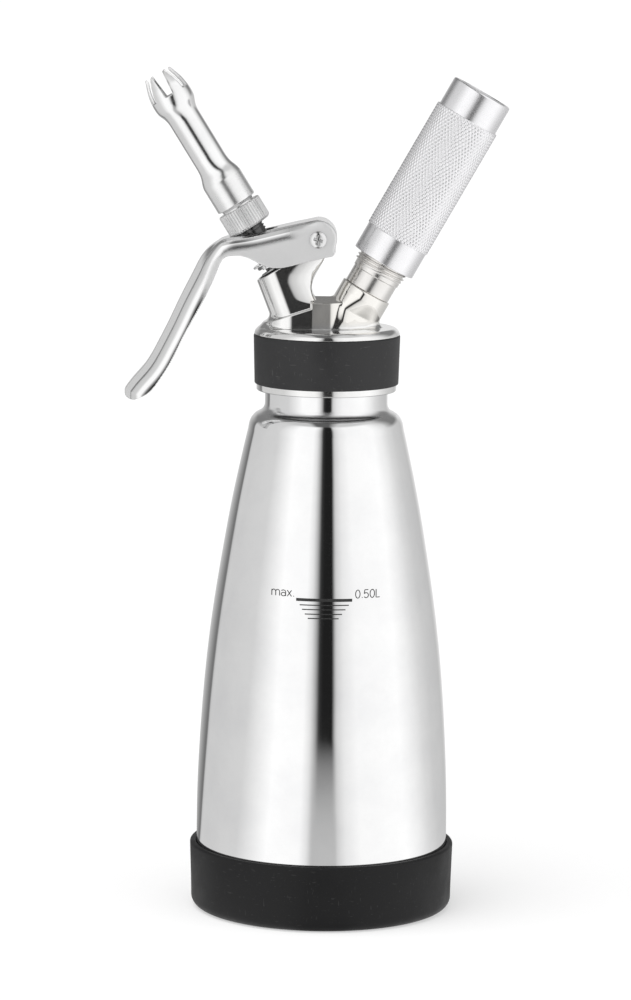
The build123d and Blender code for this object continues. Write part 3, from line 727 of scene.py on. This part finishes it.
def letters(text, x, z, cap):
    """Plain upright single-stroke lettering; x of the left edge, z of the base."""
    h = cap
    xh = 0.74 * cap
    out = []
    for ch in text:
        if ch == "m":
            w = 0.98 * cap
            out.append([(x, z), (x, z + xh)])
            for k in (0, 1):
                a = x + k * w / 2
                out.append(np.vstack([ring_path(a + w / 4, z + xh - w / 4, w / 4, w / 4, 180, 0, 9),
                                      [[a + w / 2, z]]]))
        elif ch == "a":
            w = 0.56 * cap
            out.append(ring_path(x + w / 2, z + xh * 0.3, w / 2, xh * 0.29, 20, 340, 16))
            out.append(np.vstack([ring_path(x + w / 2, z + xh - w * 0.42, w / 2, w * 0.42, 150, 0, 9),
                                  [[x + w, z]]]))
        elif ch == "x":
            w = 0.54 * cap
            out += [[(x, z), (x + w, z + xh)], [(x, z + xh), (x + w, z)]]
        elif ch == ".":
            w = 0.1 * cap
            out.append([(x + 0.02 * cap, z + 0.05 * cap), (x + 0.12 * cap, z + 0.05 * cap)])
        elif ch == "0":
            w = 0.56 * cap
            out.append(ring_path(x + w / 2, z + h / 2, w / 2, h / 2))
        elif ch == "5":
            w = 0.56 * cap
            out.append([(x + w * 0.95, z + h), (x + w * 0.18, z + h), (x + w * 0.05, z + 0.52 * h)])
            out.append(np.vstack([[[x + w * 0.05, z + 0.52 * h]],
                                  ring_path(x + w * 0.48, z + 0.32 * h, w * 0.5, 0.31 * h, 120, -150, 18)]))
        elif ch == "L":
            w = 0.46 * cap
            out.append([(x, z + h), (x, z), (x + w, z)])
        else:
            w = 0.3 * cap
        x += w + 0.2 * cap
    return out, x


mark_z = 130.7
v1, q1 = stroke([[(-10.9, mark_z - 0.5), (10.9, mark_z - 0.6)]], 1.15)
mark_bar = build("fill_line", v1, q1, smooth=False)
place(mark_bar, INK, "bottle")
v2, q2 = stroke([[(-9.5, mark_z - 2.5), (9.6, mark_z - 2.5)], [(-8.6, mark_z - 4.2), (8.3, mark_z - 4.2)],
                 [(-7.5, mark_z - 5.95), (7.0, mark_z - 5.95)], [(-6.3, mark_z - 7.6), (5.7, mark_z - 7.6)]], 0.42)
mark_thin = build("fill_graduations", v2, q2, smooth=False)
place(mark_thin, INK, "bottle")
left, _ = letters("max.", -20.4, mark_z + 0.5, 3.1)
right, _ = letters("0.50L", 12.2, mark_z + 0.1, 3.1)
v3, q3 = stroke(left + right, 0.34)
mark_text = build("fill_lettering", v3, q3, smooth=False)
place(mark_text, INK, "bottle")

# -------------------------------------------------------------------------- head


def local(axis, x, z):
    dx, dz = x - axis.o[0], z - axis.o[2]
    return dx * axis.x[0] + dz * axis.x[2], dx * axis.z[0] + dz * axis.z[2]


pivot = (-3.9, 267.5)
lug_line = rounded([(-15, 240.5), (-19.5, 240.5), (-19.8, 250.0, 3), (-13.4, 259.6, 4)]
                   + [(pivot[0] + 4.6 * math.cos(math.radians(a)), pivot[1] + 4.6 * math.sin(math.radians(a)))
                      for a in range(150, -1, -15)]
                   + [(0.3, 264.4, 1), (1.5, 259.0), (1.5, 240.5), (-10, 240.5)])
LUG = Outline(densify(lug_line, 0.4))


def smooth_table(pts, lo, hi, step, width):
    """A function through the points (key, value), evenly resampled and smoothed."""
    k = np.arange(lo, hi + step / 2, step)
    a = np.array(pts, float)
    v = np.interp(k, a[:, 0], a[:, 1])
    w = np.exp(-0.5 * (np.arange(-4 * width, 4 * width + step / 2, step) / width) ** 2)
    pad = len(w) // 2
    v = np.convolve(np.concatenate([np.full(pad, v[0]), v, np.full(pad, v[-1])]), w / w.sum(), "same")[pad:-pad]
    return lambda q: np.interp(q, k, v)


# The valve boss runs on to the right as the lug. Its front is round on the left
# (up to the line LEFT), flat in the middle, and from the line BEND on it turns
# away more and more, down to the lug's right-hand edge RIGHT.
BEND = smooth_table([(236.0, 2.0), (240.6, 1.0), (241.6, -3.0), (242.2, -6.6), (242.8, -9.4), (243.4, -11.7),
                     (244.6, -12.9), (245.7, -13.45), (246.9, -14.0), (248.1, -14.6), (249.3, -15.1), (250.7, -15.6),
                     (252.8, -15.35), (254.0, -14.7), (255.1, -13.8), (256.3, -12.95), (257.5, -11.7),
                     (262.0, -7.0), (275.0, 2.0)], 230.0, 276.0, 0.05, 0.35)
RIGHT = smooth_table([(230.0, -3.0), (242.0, -3.6), (244.5, -5.4), (248.0, -6.4), (251.5, -5.6), (259.0, -1.6),
                      (264.4, 0.3), (276.0, 1.0)], 226.0, 278.0, 0.1, 0.9)
turn_q = np.array([-30, -3.1, 0, .6, 2.95, 4.5, 6.1, 7.7, 9.0, 10.0, 30])
turn_s = np.array([0, 0, .087, .105, .132, .172, .222, .364, .8, 2.2, 2.2])
fall_q = np.arange(-30, 30.01, 0.05)
fall_v = np.concatenate([[0], np.cumsum((np.interp(fall_q[1:], turn_q, turn_s) + np.interp(fall_q[:-1], turn_q, turn_s)) / 2 * 0.05)])


def boss_section(x, y, z):
    left = -18.5 - 0.375 * (z - 250.3)
    edge = -27.8 - 0.39 * (z - 250.3) - 0.22 * np.clip(237.2 - z, 0, 8)
    a = (x - left) * 0.937
    width = np.maximum((left - edge) * 0.937, 4.0)
    depth = 9.0
    fall = np.interp(x - BEND(z), fall_q, fall_v)
    return np.hypot(np.minimum(a, 0) * depth / width, y) - (depth - np.minimum(fall, 6.5))


def head_field(x, y, z):
    s, t = local(VALVE, x, z)
    u, w = local(INLET, x, z)
    r = np.hypot(x, y)
    # cap
    cap = both(r - 28.7, z - 232.3, 3.0)
    # valve boss and lug
    shape = both(boss_section(x, y, z), (x - RIGHT(z)) * 0.9, 1.0)
    boss = np.minimum(both(shape, t + 18.3, 0.35), both(shape, LUG(x, z), 0.7))
    # bar across the cap: its front flat, then turning away in two facets
    ay = np.abs(y)
    facet_l = (ay - (11.8 - 0.0866 * (x + 6.0))) * 0.996
    facet_r = (ay - (11.1 - 0.30 * (x - 2.0))) * 0.958
    plan = np.where(x < -13.4, np.hypot(x + 13.4, y) - 11.8, np.maximum(ay - 11.8, both(facet_l, facet_r, 0.15)))
    top = (z - 232.4 - 0.3357 * (x + 30)) * 0.948
    side_r = (x - 7.4) * 0.93 + (ay - 8.0) * 0.36 - (238.0 - z) * 0.12
    deck = np.minimum(both(top, x + 1.0, 0.3), both((z - 244.4 + 0.16 * ay) * 0.987, -6.2 - x, 0.3))
    bar = both(both(plan, deck, 0.35), side_r, 1.0)
    # inlet boss
    sway = np.clip((10.65 - u) / 9.5, 0, 1)
    sway = np.where(u < 1.0, np.clip((u + 10.65) / 6.5, 0, 1), sway)
    sway = sway * sway * (3 - 2 * sway)
    v = u - sway * np.interp(w, [-28.0, -25.9, -23.4, -19.9, -17.2, -14.8, -13.8],
                             [-2.0, -2.7, -3.4, -1.6, -0.1, 0.0, -0.2])
    inlet = both(both(np.hypot(v - 0.75, y) - 11.1, np.hypot(v + 2.3, ay + 1.72) - 12.7, 0.2), w + 13.8, 0.5)
    left_foot = np.clip((-17.0 - x) / 6.0, 0, 1) * 2.6
    d = join(cap, bar, 0.25 + left_foot)
    d = join(d, boss, 0.35 + left_foot)
    d = join(d, inlet, 1.0 + np.clip((x - 15.0) / 6.0, 0, 1) * 2.6)
    # bores
    q = np.hypot(s, y)
    d = both(d, -np.maximum(q - 7.9, -21.0 - t), 0.25)
    d = np.maximum(d, -np.maximum(q - 6.9, -35.8 - t))
    d = np.maximum(d, -np.maximum(q - 3.96, -60.0 - t))
    qi = np.hypot(u, y)
    d = np.maximum(d, -np.maximum(qi - 6.0, -27.5 - w))
    d = np.maximum(d, -(qi - 2.0))
    d = np.maximum(d, -(np.hypot(x - pivot[0], z - pivot[1]) - 1.76))
    return both(d, 229.42 - z, 0.25)


head = skin("head_casting", head_field, (-29.6, -29.4, 228.6), (29.6, 29.4, 273.0), 0.42)
place(head, STEEL_HEAD, "head", "head_cap")


def head_thread(th, t, r, row):
    z0, z1, pitch = 210.0, 224.0, 4.0
    k = (t - z0) / pitch - th / (2 * math.pi)
    d = np.abs((k + 0.5) % 1.0 - 0.5) * pitch
    h = np.clip((1.15 - d) / 0.7, 0, 1)
    fade = np.clip((t - z0 + 0.6) / 1.2, 0, 1) * np.clip((z1 + 0.6 - t) / 1.2, 0, 1)
    return np.where(np.abs(r - 25.7) < 1e-3, r - 1.05 * h * fade, r)


skirt_prof = np.vstack([rounded([(25.7, 207.3), (27.6, 207.3, 0.5), (27.6, 209.9, 0.3), (27.4, 209.9), (27.4, 229.45)]),
                        [[25.7, 229.45]], densify(np.array([[25.7, 229.2], [25.7, 207.6]]), 0.35)])
skirt = revolve("head_skirt", skirt_prof, n=256, radius=head_thread)
place(skirt, STEEL_HEAD, "head")
skirt.data.materials.append(STEEL_UNDER_SHADE)
# Faces of the lip that turn downwards get the darker steel: painted shade on the underside.
for face in skirt.data.polygons:
    if face.normal.z < -0.6 and face.center.z < 0.2085:
        face.material_index = 1

ring_prof = rounded([(27.41, 215.0), (27.41, 209.92, 0.2), (28.4, 209.92, 0.7), (28.9, 229.38, 0.7), (27.41, 229.38, 0.2), (27.41, 215.0)])
ring = revolve("grip_band", densify(ring_prof[:-1], 3.0), n=256)
place(ring, RUBBER, "head", "grip_ring")

# ------------------------------------------------------------------------ nozzle
tulip_neck = [(8.25, 22.7), (7.7, 24.8), (6.9, 26.9), (6.45, 29.5), (6.4, 33.0)]
tulip_flare = [(6.4, 50.5), (6.55, 52.4), (7.2, 54.6), (7.95, 56.4), (8.25, 58.4), (8.25, 60.6),
               (7.9, 63.5), (7.6, 65.1), (7.15, 66.6), (6.6, 68.2), (6.0, 69.8), (5.45, 71.2)]
flare = spline(tulip_flare, 12)
neck = spline(tulip_neck, 12)
tulip_line = np.vstack([
    rounded([(5.0, 8.5), (6.58, 8.5), (6.58, 10.7), (7.0, 11.6), (8.25, 11.6, 0.4), (8.25, 22.7)]), neck[1:], flare,
    inward(flare, 1.35)[::-1], [[5.05, 33.0], [5.05, 14.5], [3.4, 13.5], [3.4, 10.6], [5.0, 10.6]]])
TULIP = Outline(densify(tulip_line, 0.25), 0.12, 2.0)


def tulip_field(s, y, t):
    d = TULIP(np.hypot(s, y), t)
    d = both(d, t - 71.0, 0.35)
    for k in range(3):
        a = math.pi / 3 * k
        across = np.abs(s * math.cos(a) + y * math.sin(a))
        # slot: 3.1 mm wide at the foot, opening towards the tip, foot nearly flat
        side_d = across - (1.55 + np.clip(t - 61.6, 0, 20) * 0.079)
        cut = both(side_d, 61.45 - t, 0.35)
        d = both(d, -cut, 0.22)
    return d


tulip = skin("tulip_nozzle", tulip_field, (-8.8, -8.8, 8.0), (8.8, 8.8, 71.6), 0.3, VALVE, 0.14)
place(tulip, STEEL_TULIP, "nozzle", "nozzle_tulip")


def nut_knurl(th, t, r, row):
    k = (th * 46 / (2 * math.pi)) % 1.0
    rng = np.sin(np.floor(th * 46 / (2 * math.pi)) * 12.9898) * 43758.5453
    vary = rng - np.floor(rng)
    groove = np.clip(1 - np.abs(k - 0.5) / (0.20 + 0.08 * vary), 0, 1) * (0.30 + 0.16 * vary)
    ends = np.clip((r - 7.3) / 1.2, 0, 1)
    return r - groove * ends


nut_outer = rounded([(5.35, 8.3), (5.35, 1.0, 0.2), (8.1, 1.0, 0.3), (9.0, 1.9, 0.4), (9.0, 10.2, 0.6), (6.62, 10.2, 0.15), (6.62, 8.4)])
nut = revolve("nozzle_nut_knurled", np.vstack([nut_outer[:1], densify(nut_outer[1:], 0.8)]), VALVE, n=46 * 10, radius=nut_knurl)
place(nut, NUT, "nozzle", "nozzle_nut")

# ------------------------------------------------------------------------- lever
web = [(-4.0, 275.2), (-12.0, 273.45), (-22.0, 271.05), (-31.4, 268.8), (-36.2, 268.0),
       (-40.6, 267.1), (-44.8, 264.9), (-48.6, 261.4), (-52.6, 254.4), (-58.2, 243.2),
       (-61.9, 235.2), (-66.9, 225.2), (-71.6, 217.2), (-76.7, 211.2), (-79.5, 207.4)]
tip = [(-79.5, 207.4), (-79.4, 205.2), (-77.9, 203.7), (-76.0, 203.5)]
under = [(-76.0, 203.5), (-69.6, 206.6), (-65.8, 211.2), (-61.7, 217.7), (-55.9, 229.5),
         (-50.1, 240.2), (-44.4, 252.0), (-42.2, 257.6)]
plate = [(-42.2, 257.6), (-40.6, 259.9), (-38.0, 260.8), (-34.5, 260.9), (-30.6, 259.8),
         (-25.8, 257.4), (-20.3, 256.2), (-11.3, 257.9), (1.6, 261.0)]
rear = [(2.2, 261.3), (3.0, 262.6)] + [
    (pivot[0] + 7.5 * math.cos(math.radians(a)), pivot[1] + 7.5 * math.sin(math.radians(a)))
    for a in (-22, 0, 20, 40, 58, 74)]
web_c = spline(web, 12)
rear_c = spline(rear[1:] + [(-4.0, 275.2)], 8)
under_c = np.vstack([spline(tip, 8), spline(under, 8)[1:], spline(plate, 8)[1:], [rear[0]]])
LEVER_ALL = Outline(densify(np.vstack([web_c, under_c[1:], rear_c]), 0.5), 0.3, 6.0)
# the web's side only, closed far below, so that its long edges can be rounder
LEVER_TOP = Outline(densify(np.vstack([web_c, [[-79.5, 190.0], [20.0, 190.0], [20.0, 262.0]], rear_c[1:]]), 0.6), 0.3, 12.0)

slot_mid, slot_tilt = (-28.7, 269.37), math.radians(13.5)


# The web's section on one side, as (half width, depth below the web's middle): flat,
# a slanted band, a fine step, then the rounded edge. One for the handle, one for
# the part over the head.
def section_outline(pts):
    return Outline(densify(np.vstack([[[-20.0, 0.0]], np.array(pts), [[11.4, 60.0], [-20.0, 60.0]]]), 0.3), 0.12, 5.0)


HANDLE = section_outline([(3.4, 0.0), (4.1, 0.16), (7.0, 2.43), (8.4, 2.86)]
                         + spline([(8.4, 2.86), (9.5, 3.65), (10.45, 4.5), (11.0, 5.4), (11.27, 6.2), (11.37, 7.0), (11.4, 7.8)], 6)[1:].tolist())
OVER = section_outline([(7.2, 0.0), (7.6, 0.07), (8.6, 0.62), (9.3, 0.84)]
                       + spline([(9.3, 0.84), (10.1, 1.45), (10.7, 2.1), (11.12, 3.0), (11.33, 3.9), (11.4, 4.6)], 6)[1:].tolist())
PLAIN = section_outline([(10.2, 0.0), (10.9, 0.15), (11.25, 0.5), (11.4, 1.2)])


def lever_section(y, depth, x):
    ay = np.abs(y)
    k = np.clip((x + 50.0) / 9.0, 0, 1)
    k = k * k * (3 - 2 * k)
    e = np.clip((x + 10.0) / 8.0, 0, 1)
    return (HANDLE(ay, depth) * (1 - k) + OVER(ay, depth) * k) * (1 - e) + PLAIN(ay, depth) * e


def lever_field(x, y, z):
    top = LEVER_TOP(x, z)
    x, y = np.broadcast_arrays(x, y)
    sect = lever_section(y, -top, x)
    body = both(sect, LEVER_ALL(x, z), 0.25)
    hollow = both(np.maximum(sect + 1.5, top + 1.5), np.abs(y) - 9.9, 0.8)
    d = both(body, -hollow, 0.28)
    dx, dz = x - slot_mid[0], z - slot_mid[1]
    a = dx * math.cos(slot_tilt) + dz * math.sin(slot_tilt)
    b = -dx * math.sin(slot_tilt) + dz * math.cos(slot_tilt)
    cut = np.hypot(np.maximum(np.abs(a) - 3.6, 0), y) - 5.5
    cut = np.maximum(cut, np.abs(b) - 6)
    d = both(d, -cut, 0.25)
    return np.maximum(d, -(np.hypot(x - pivot[0], z - pivot[1]) - 1.8))


lever = skin("lever_channel", lever_field, (-81.0, -12.0, 202.6), (5.4, 12.0, 276.4), 0.42)
lv = np.empty(len(lever.data.vertices) * 3, np.float32)
lever.data.vertices.foreach_get("co", lv)
lv = lv.reshape(-1, 3).astype(float) / MM
below = -LEVER_TOP(lv[:, 0], lv[:, 2]) - 3.2
matt = np.maximum(np.clip(below / 3.0, 0, 1), np.clip((lv[:, 0] + 19.0) / 9.0, 0, 1))
matt *= np.clip((lv[:, 0] + 52.0) / 7.0, 0, 1)
matt = np.where(np.abs(lv[:, 1]) > 9.0, matt * matt * (3 - 2 * matt), 0.3)
lever.data.attributes.new("satin", "FLOAT", "POINT").data.foreach_set("value", matt.astype(np.float32))
place(lever, STEEL_LEVER, "lever", "lever")

# --------------------------------------------------------------------- pivot pin
PIN_HEAD = Outline(densify(np.vstack([[(-6.0, 0.02), (3.3, 0.02), (3.42, 0.12), (3.42, 0.42), (3.2, 0.75)],
                                      spline([(3.2, 0.75), (2.6, 1.15), (1.7, 1.45), (0.8, 1.6), (0.0, 1.65)], 5)[1:],
                                      [(-6.0, 1.65)]]), 0.1), 0.06, 1.0)


def pin_field(x, y, z):
    """y runs out of the lever's side."""
    q = np.hypot(x, z)
    head = PIN_HEAD(q, y)
    shank = np.maximum(q - 1.74, np.maximum(y - 0.3, -23.6 - y))
    d = np.minimum(head, shank)
    c, n = math.cos(0.3), math.sin(0.3)
    a, b = np.abs(x * c + z * n), np.abs(-x * n + z * c)
    sink = 0.55 - 0.1 * q
    cross = np.minimum(np.maximum(a - 1.75, b - (0.42 + 0.12 * (y - 0.5))), np.maximum(b - 1.75, a - (0.42 + 0.12 * (y - 0.5))))
    cross = both(cross, sink - y, 0.15)
    return both(d, -cross, 0.12)


pin = skin("pin_with_recess", pin_field, (-3.7, -23.9, -3.7), (3.7, 1.9, 3.7), 0.16,
           Axis((pivot[0], -11.42, pivot[1]), (1, 0, 0), (0, 0, -1)), 0.06)
place(pin, PIN, "head", "pivot_pin")

# ------------------------------------------------------------ inlet stud, holder


def thread(th, t, z0, z1, pitch, root_w, crest_w, depth):
    k = (t - z0) / pitch - th / (2 * math.pi)
    d = np.abs((k + 0.5) % 1.0 - 0.5) * pitch
    h = np.clip((root_w / 2 - d) / (root_w / 2 - crest_w / 2), 0, 1)
    fade = np.clip((t - z0 + 0.4) / 0.8, 0, 1) * np.clip((z1 + 0.4 - t) / 0.8, 0, 1)
    return depth * h * fade


stud_line = np.vstack([
    rounded([(1.5, -26.0), (5.98, -26.0, 0.2), (5.98, -13.78), (9.4, -13.78, 0.35), (9.4, -7.1, 0.25), (9.75, -6.8)]),
    densify(np.array([[9.75, -6.7], [9.75, 9.3]]), 0.12),
    rounded([(9.75, 9.35), (9.0, 9.8, 0.2), (9.0, 12.8, 0.5), (5.2, 12.8, 0.2), (4.9, 12.4), (4.9, 4.4), (1.5, 4.4)])])
stud = revolve("inlet_stud_threaded", stud_line, INLET, n=192,
               radius=lambda th, t, r, row: np.where(np.abs(r - 9.75) < 1e-3,
                                                     r + thread(th, t, -4.7, 8.8, 1.5, 1.0, 0.3, 0.75), r))
place(stud, NICKEL, "head", "inlet_stud")

K_N, K_P = 58, 2.5          # starts of the knurl, and its axial pitch
K_DEPTH = 0.34
K0, K1 = 10.4, 64.2


def holder_radius(th, t, r, row):
    u = (th * K_N / (2 * math.pi) + (t - K0) / K_P) % 1.0
    v = (th * K_N / (2 * math.pi) - (t - K0) / K_P) % 1.0
    hu, hv = np.abs(u - 0.5) * 2, np.abs(v - 0.5) * 2      # 1 in the groove
    g = np.maximum(np.clip((hu - 0.30) / 0.70, 0, 1), np.clip((hv - 0.30) / 0.70, 0, 1))
    zone = (t > K0 - 1e-6) & (t < K1 + 1e-6) & (r > 13.2)
    out = np.where(zone, r - K_DEPTH * g, r)
    inner = np.abs(r - 10.8) < 1e-3
    z0 = -6.2 + 4.5 * 1.5
    return np.where(inner, r - thread(th, t, z0, z0 + 8.4, 1.5, 1.0, 0.3, 0.78), out)


rows = np.arange(K0, K1 + 1e-6, K_P / 8)
holder_line = np.vstack([
    rounded([(10.8, -0.8), (12.9, -0.8, 0.3), (12.9, 10.2), (13.1, 10.2, 0.05), (13.25, 10.32)]),
    np.stack([np.full(len(rows), 13.25), rows], 1),
    rounded([(13.25, 64.25), (13.12, 64.4, 0.05), (12.45, 64.4), (12.45, 76.1, 0.8), (10.5, 76.1, 0.2),
             (10.15, 75.75, 0.2), (0, 75.75)]),
    [[0.0, 73.2], [9.3, 73.2], [9.3, 16.4], [10.8, 14.6]],
    densify(np.array([[10.8, 14.4], [10.8, -0.6]]), 0.25)])
holder = revolve("charger_holder_knurled", holder_line, INLET, n=K_N * 8, radius=holder_radius)
place(holder, ALU, "holder", "charger_holder")

# ------------------------------------------------------------- floor, light, world
# Softboxes left and right of the camera, a dark gap between them, grey walls
# behind: azimuth in degrees from the camera's side, positive to the right.
STUDIO = [(-180, .80), (-165, .60), (-157, .50), (-150, .40), (-143, .29), (-137, .19), (-134, .19),
          (-131.5, .62), (-127, .68), (-115, .68), (-75, .73), (-60, .93), (-45, 1.15),
          (-18, 1.12), (-12, .88), (-8, .52), (-4, .035), (0, .015), (9, .015), (11, .45), (13, .72),
          (20, .93), (32, 1.08), (75, 1.15), (90, 1.0), (105, .79), (120, .67), (150, .58), (165, .79), (180, .80)]
GAP_ON_FLOOR = .56


def math_node(nt, op, a, b=None):
    m = nt.nodes.new("ShaderNodeMath")
    m.operation = op
    for k, v in enumerate((a, b)):
        if v is None:
            continue
        if isinstance(v, (int, float)):
            m.inputs[k].default_value = v
        else:
            link(nt, v, m.inputs[k])
    return m.outputs[0]


def studio_colour(nt, x, y, stops):
    front = math_node(nt, "MULTIPLY", y, -1.0)
    azimuth = math_node(nt, "ARCTAN2", x, front)
    turn = math_node(nt, "ADD", math_node(nt, "DIVIDE", azimuth, 2 * math.pi), 0.5)
    return ramp(nt, turn, [((a + 180) / 360, v) for a, v in stops]).outputs["Color"]


def mix_colour(nt, fac, a, b):
    m = nt.nodes.new("ShaderNodeMix")
    m.data_type = "RGBA"
    for key, v in (("Factor", fac), ("A", a), ("B", b)):
        if isinstance(v, tuple):
            m.inputs[key].default_value = v
        else:
            link(nt, v, m.inputs[key])
    return m.outputs["Result"]


# The floor is a pale sweep that glows a little by itself. To glossy rays it glows instead with a painted reflection
# of the softboxes and the dark gap, the gap fading out towards the object.
floor_me = bpy.data.meshes.new("floor")
fx, fy0, fy1 = 7.0, -1.08, 14.0
floor_me.from_pydata([(-fx, fy0, 0), (fx, fy0, 0), (fx, fy1, 0), (-fx, fy1, 0)], [], [(0, 1, 2, 3)])
floor = bpy.data.objects.new("floor", floor_me)
bpy.context.scene.collection.objects.link(floor)
fm, fnt, fb = tree_of("pale_floor")
grain = noise(fnt, 300, 3, 0.5, mapping(fnt))
link(fnt, ramp(fnt, grain.outputs["Fac"], [(0.3, 0.462), (0.7, 0.468)]).outputs["Color"], fb.inputs["Base Color"])
fb.inputs["Emission Color"].default_value = (1, 1, 1, 1)
fb.inputs["Emission Strength"].default_value = 0.5
fb.inputs["Roughness"].default_value = 0.9
fb.inputs["Specular IOR Level"].default_value = 0.1
ftc = fnt.nodes.new("ShaderNodeTexCoord")
fsep = fnt.nodes.new("ShaderNodeSeparateXYZ")
link(fnt, ftc.outputs["Object"], fsep.inputs[0])
far_c = studio_colour(fnt, fsep.outputs["X"], fsep.outputs["Y"], STUDIO)
near_c = studio_colour(fnt, fsep.outputs["X"], fsep.outputs["Y"],
                       [(a, max(v, GAP_ON_FLOOR) if -30 < a < 30 else v) for a, v in STUDIO])
dist = math_node(fnt, "SQRT", math_node(fnt, "ADD", math_node(fnt, "MULTIPLY", fsep.outputs["X"], fsep.outputs["X"]),
                                        math_node(fnt, "MULTIPLY", fsep.outputs["Y"], fsep.outputs["Y"])))
close = spread(fnt, dist, 0.0, 1.0, 1.1, 0.2)
# The painted reflection of the softboxes, seen only by glossy rays.
glow = fnt.nodes.new("ShaderNodeEmission")
link(fnt, mix_colour(fnt, close, far_c, near_c), glow.inputs["Color"])
flp = fnt.nodes.new("ShaderNodeLightPath")
fmix = fnt.nodes.new("ShaderNodeMixShader")
link(fnt, flp.outputs["Is Glossy Ray"], fmix.inputs["Fac"])
link(fnt, fb.outputs[0], fmix.inputs[1])
link(fnt, glow.outputs[0], fmix.inputs[2])
link(fnt, fmix.outputs[0], fnt.nodes["Material Output"].inputs["Surface"])
floor_me.materials.append(fm)

world = bpy.data.worlds.new("studio")
bpy.context.scene.world = world
world.use_nodes = True
wt = world.node_tree
wt.nodes.clear()
out = wt.nodes.new("ShaderNodeOutputWorld")
bg = wt.nodes.new("ShaderNodeBackground")
tc = wt.nodes.new("ShaderNodeTexCoord")
sep = wt.nodes.new("ShaderNodeSeparateXYZ")
link(wt, tc.outputs["Generated"], sep.inputs[0])
sides = studio_colour(wt, sep.outputs["X"], sep.outputs["Y"], STUDIO)
height = math_node(wt, "ARCSINE", sep.outputs["Z"])
over = ramp(wt, math_node(wt, "ADD", math_node(wt, "MULTIPLY", sep.outputs["X"], 0.5), 0.5),
            [(0.0, .72), (0.365, .62), (0.415, .13), (0.525, .11), (0.60, .66), (1.0, .72)]).outputs["Color"]
up = spread(wt, height, 0.0, 1.0, math.radians(48), math.radians(60))
lit = mix_colour(wt, up, sides, over)
back = math_node(wt, "MULTIPLY", spread(wt, height, 0.0, 1.0, math.radians(11), math.radians(20)),
                 spread(wt, height, 1.0, 0.0, math.radians(44), math.radians(54)))
back = math_node(wt, "MULTIPLY", back, spread(wt, sep.outputs["Y"], 0.0, 1.0, 0.25, 0.6))
lit = mix_colour(wt, back, lit, (0.22, 0.22, 0.22, 1))
lp = wt.nodes.new("ShaderNodeLightPath")
link(wt, mix_colour(wt, lp.outputs["Is Camera Ray"], lit, (1, 1, 1, 1)), bg.inputs["Color"])
link(wt, bg.outputs[0], out.inputs[0])

# One broad soft lamp from above and slightly left, for the matt surfaces.
lamp = bpy.data.lights.new("overhead", "SUN")
lamp.angle = math.radians(50)
lamp.energy = 2.0
lamp_ob = bpy.data.objects.new("overhead", lamp)
lamp_ob.location = (-0.5, -0.4, 2.0)
lamp_ob.rotation_euler = (Vector((0, 0, 0.1)) - Vector(lamp_ob.location)).to_track_quat("-Z", "Y").to_euler()
lamp_ob.visible_glossy = False
lamp_ob.visible_camera = False
bpy.context.scene.collection.objects.link(lamp_ob)

cam = bpy.data.cameras.new("camera")
cam.lens = 165.24
cam.sensor_width = 36.0
cam_ob = bpy.data.objects.new("camera", cam)
cam_ob.location = (-0.0038, -1.799, 0.4257)
look = Matrix.Rotation(math.radians(90 - 8.3), 4, "X") @ Matrix.Rotation(math.radians(0.64), 4, "Z")
cam_ob.rotation_euler = look.to_euler()
bpy.context.scene.collection.objects.link(cam_ob)
bpy.context.scene.camera = cam_ob
cam.clip_start, cam.clip_end = 0.05, 60

view = bpy.context.scene.view_settings
view.view_transform = "Standard"
view.look = "None"
view.exposure = 0.0
view.gamma = 1.0
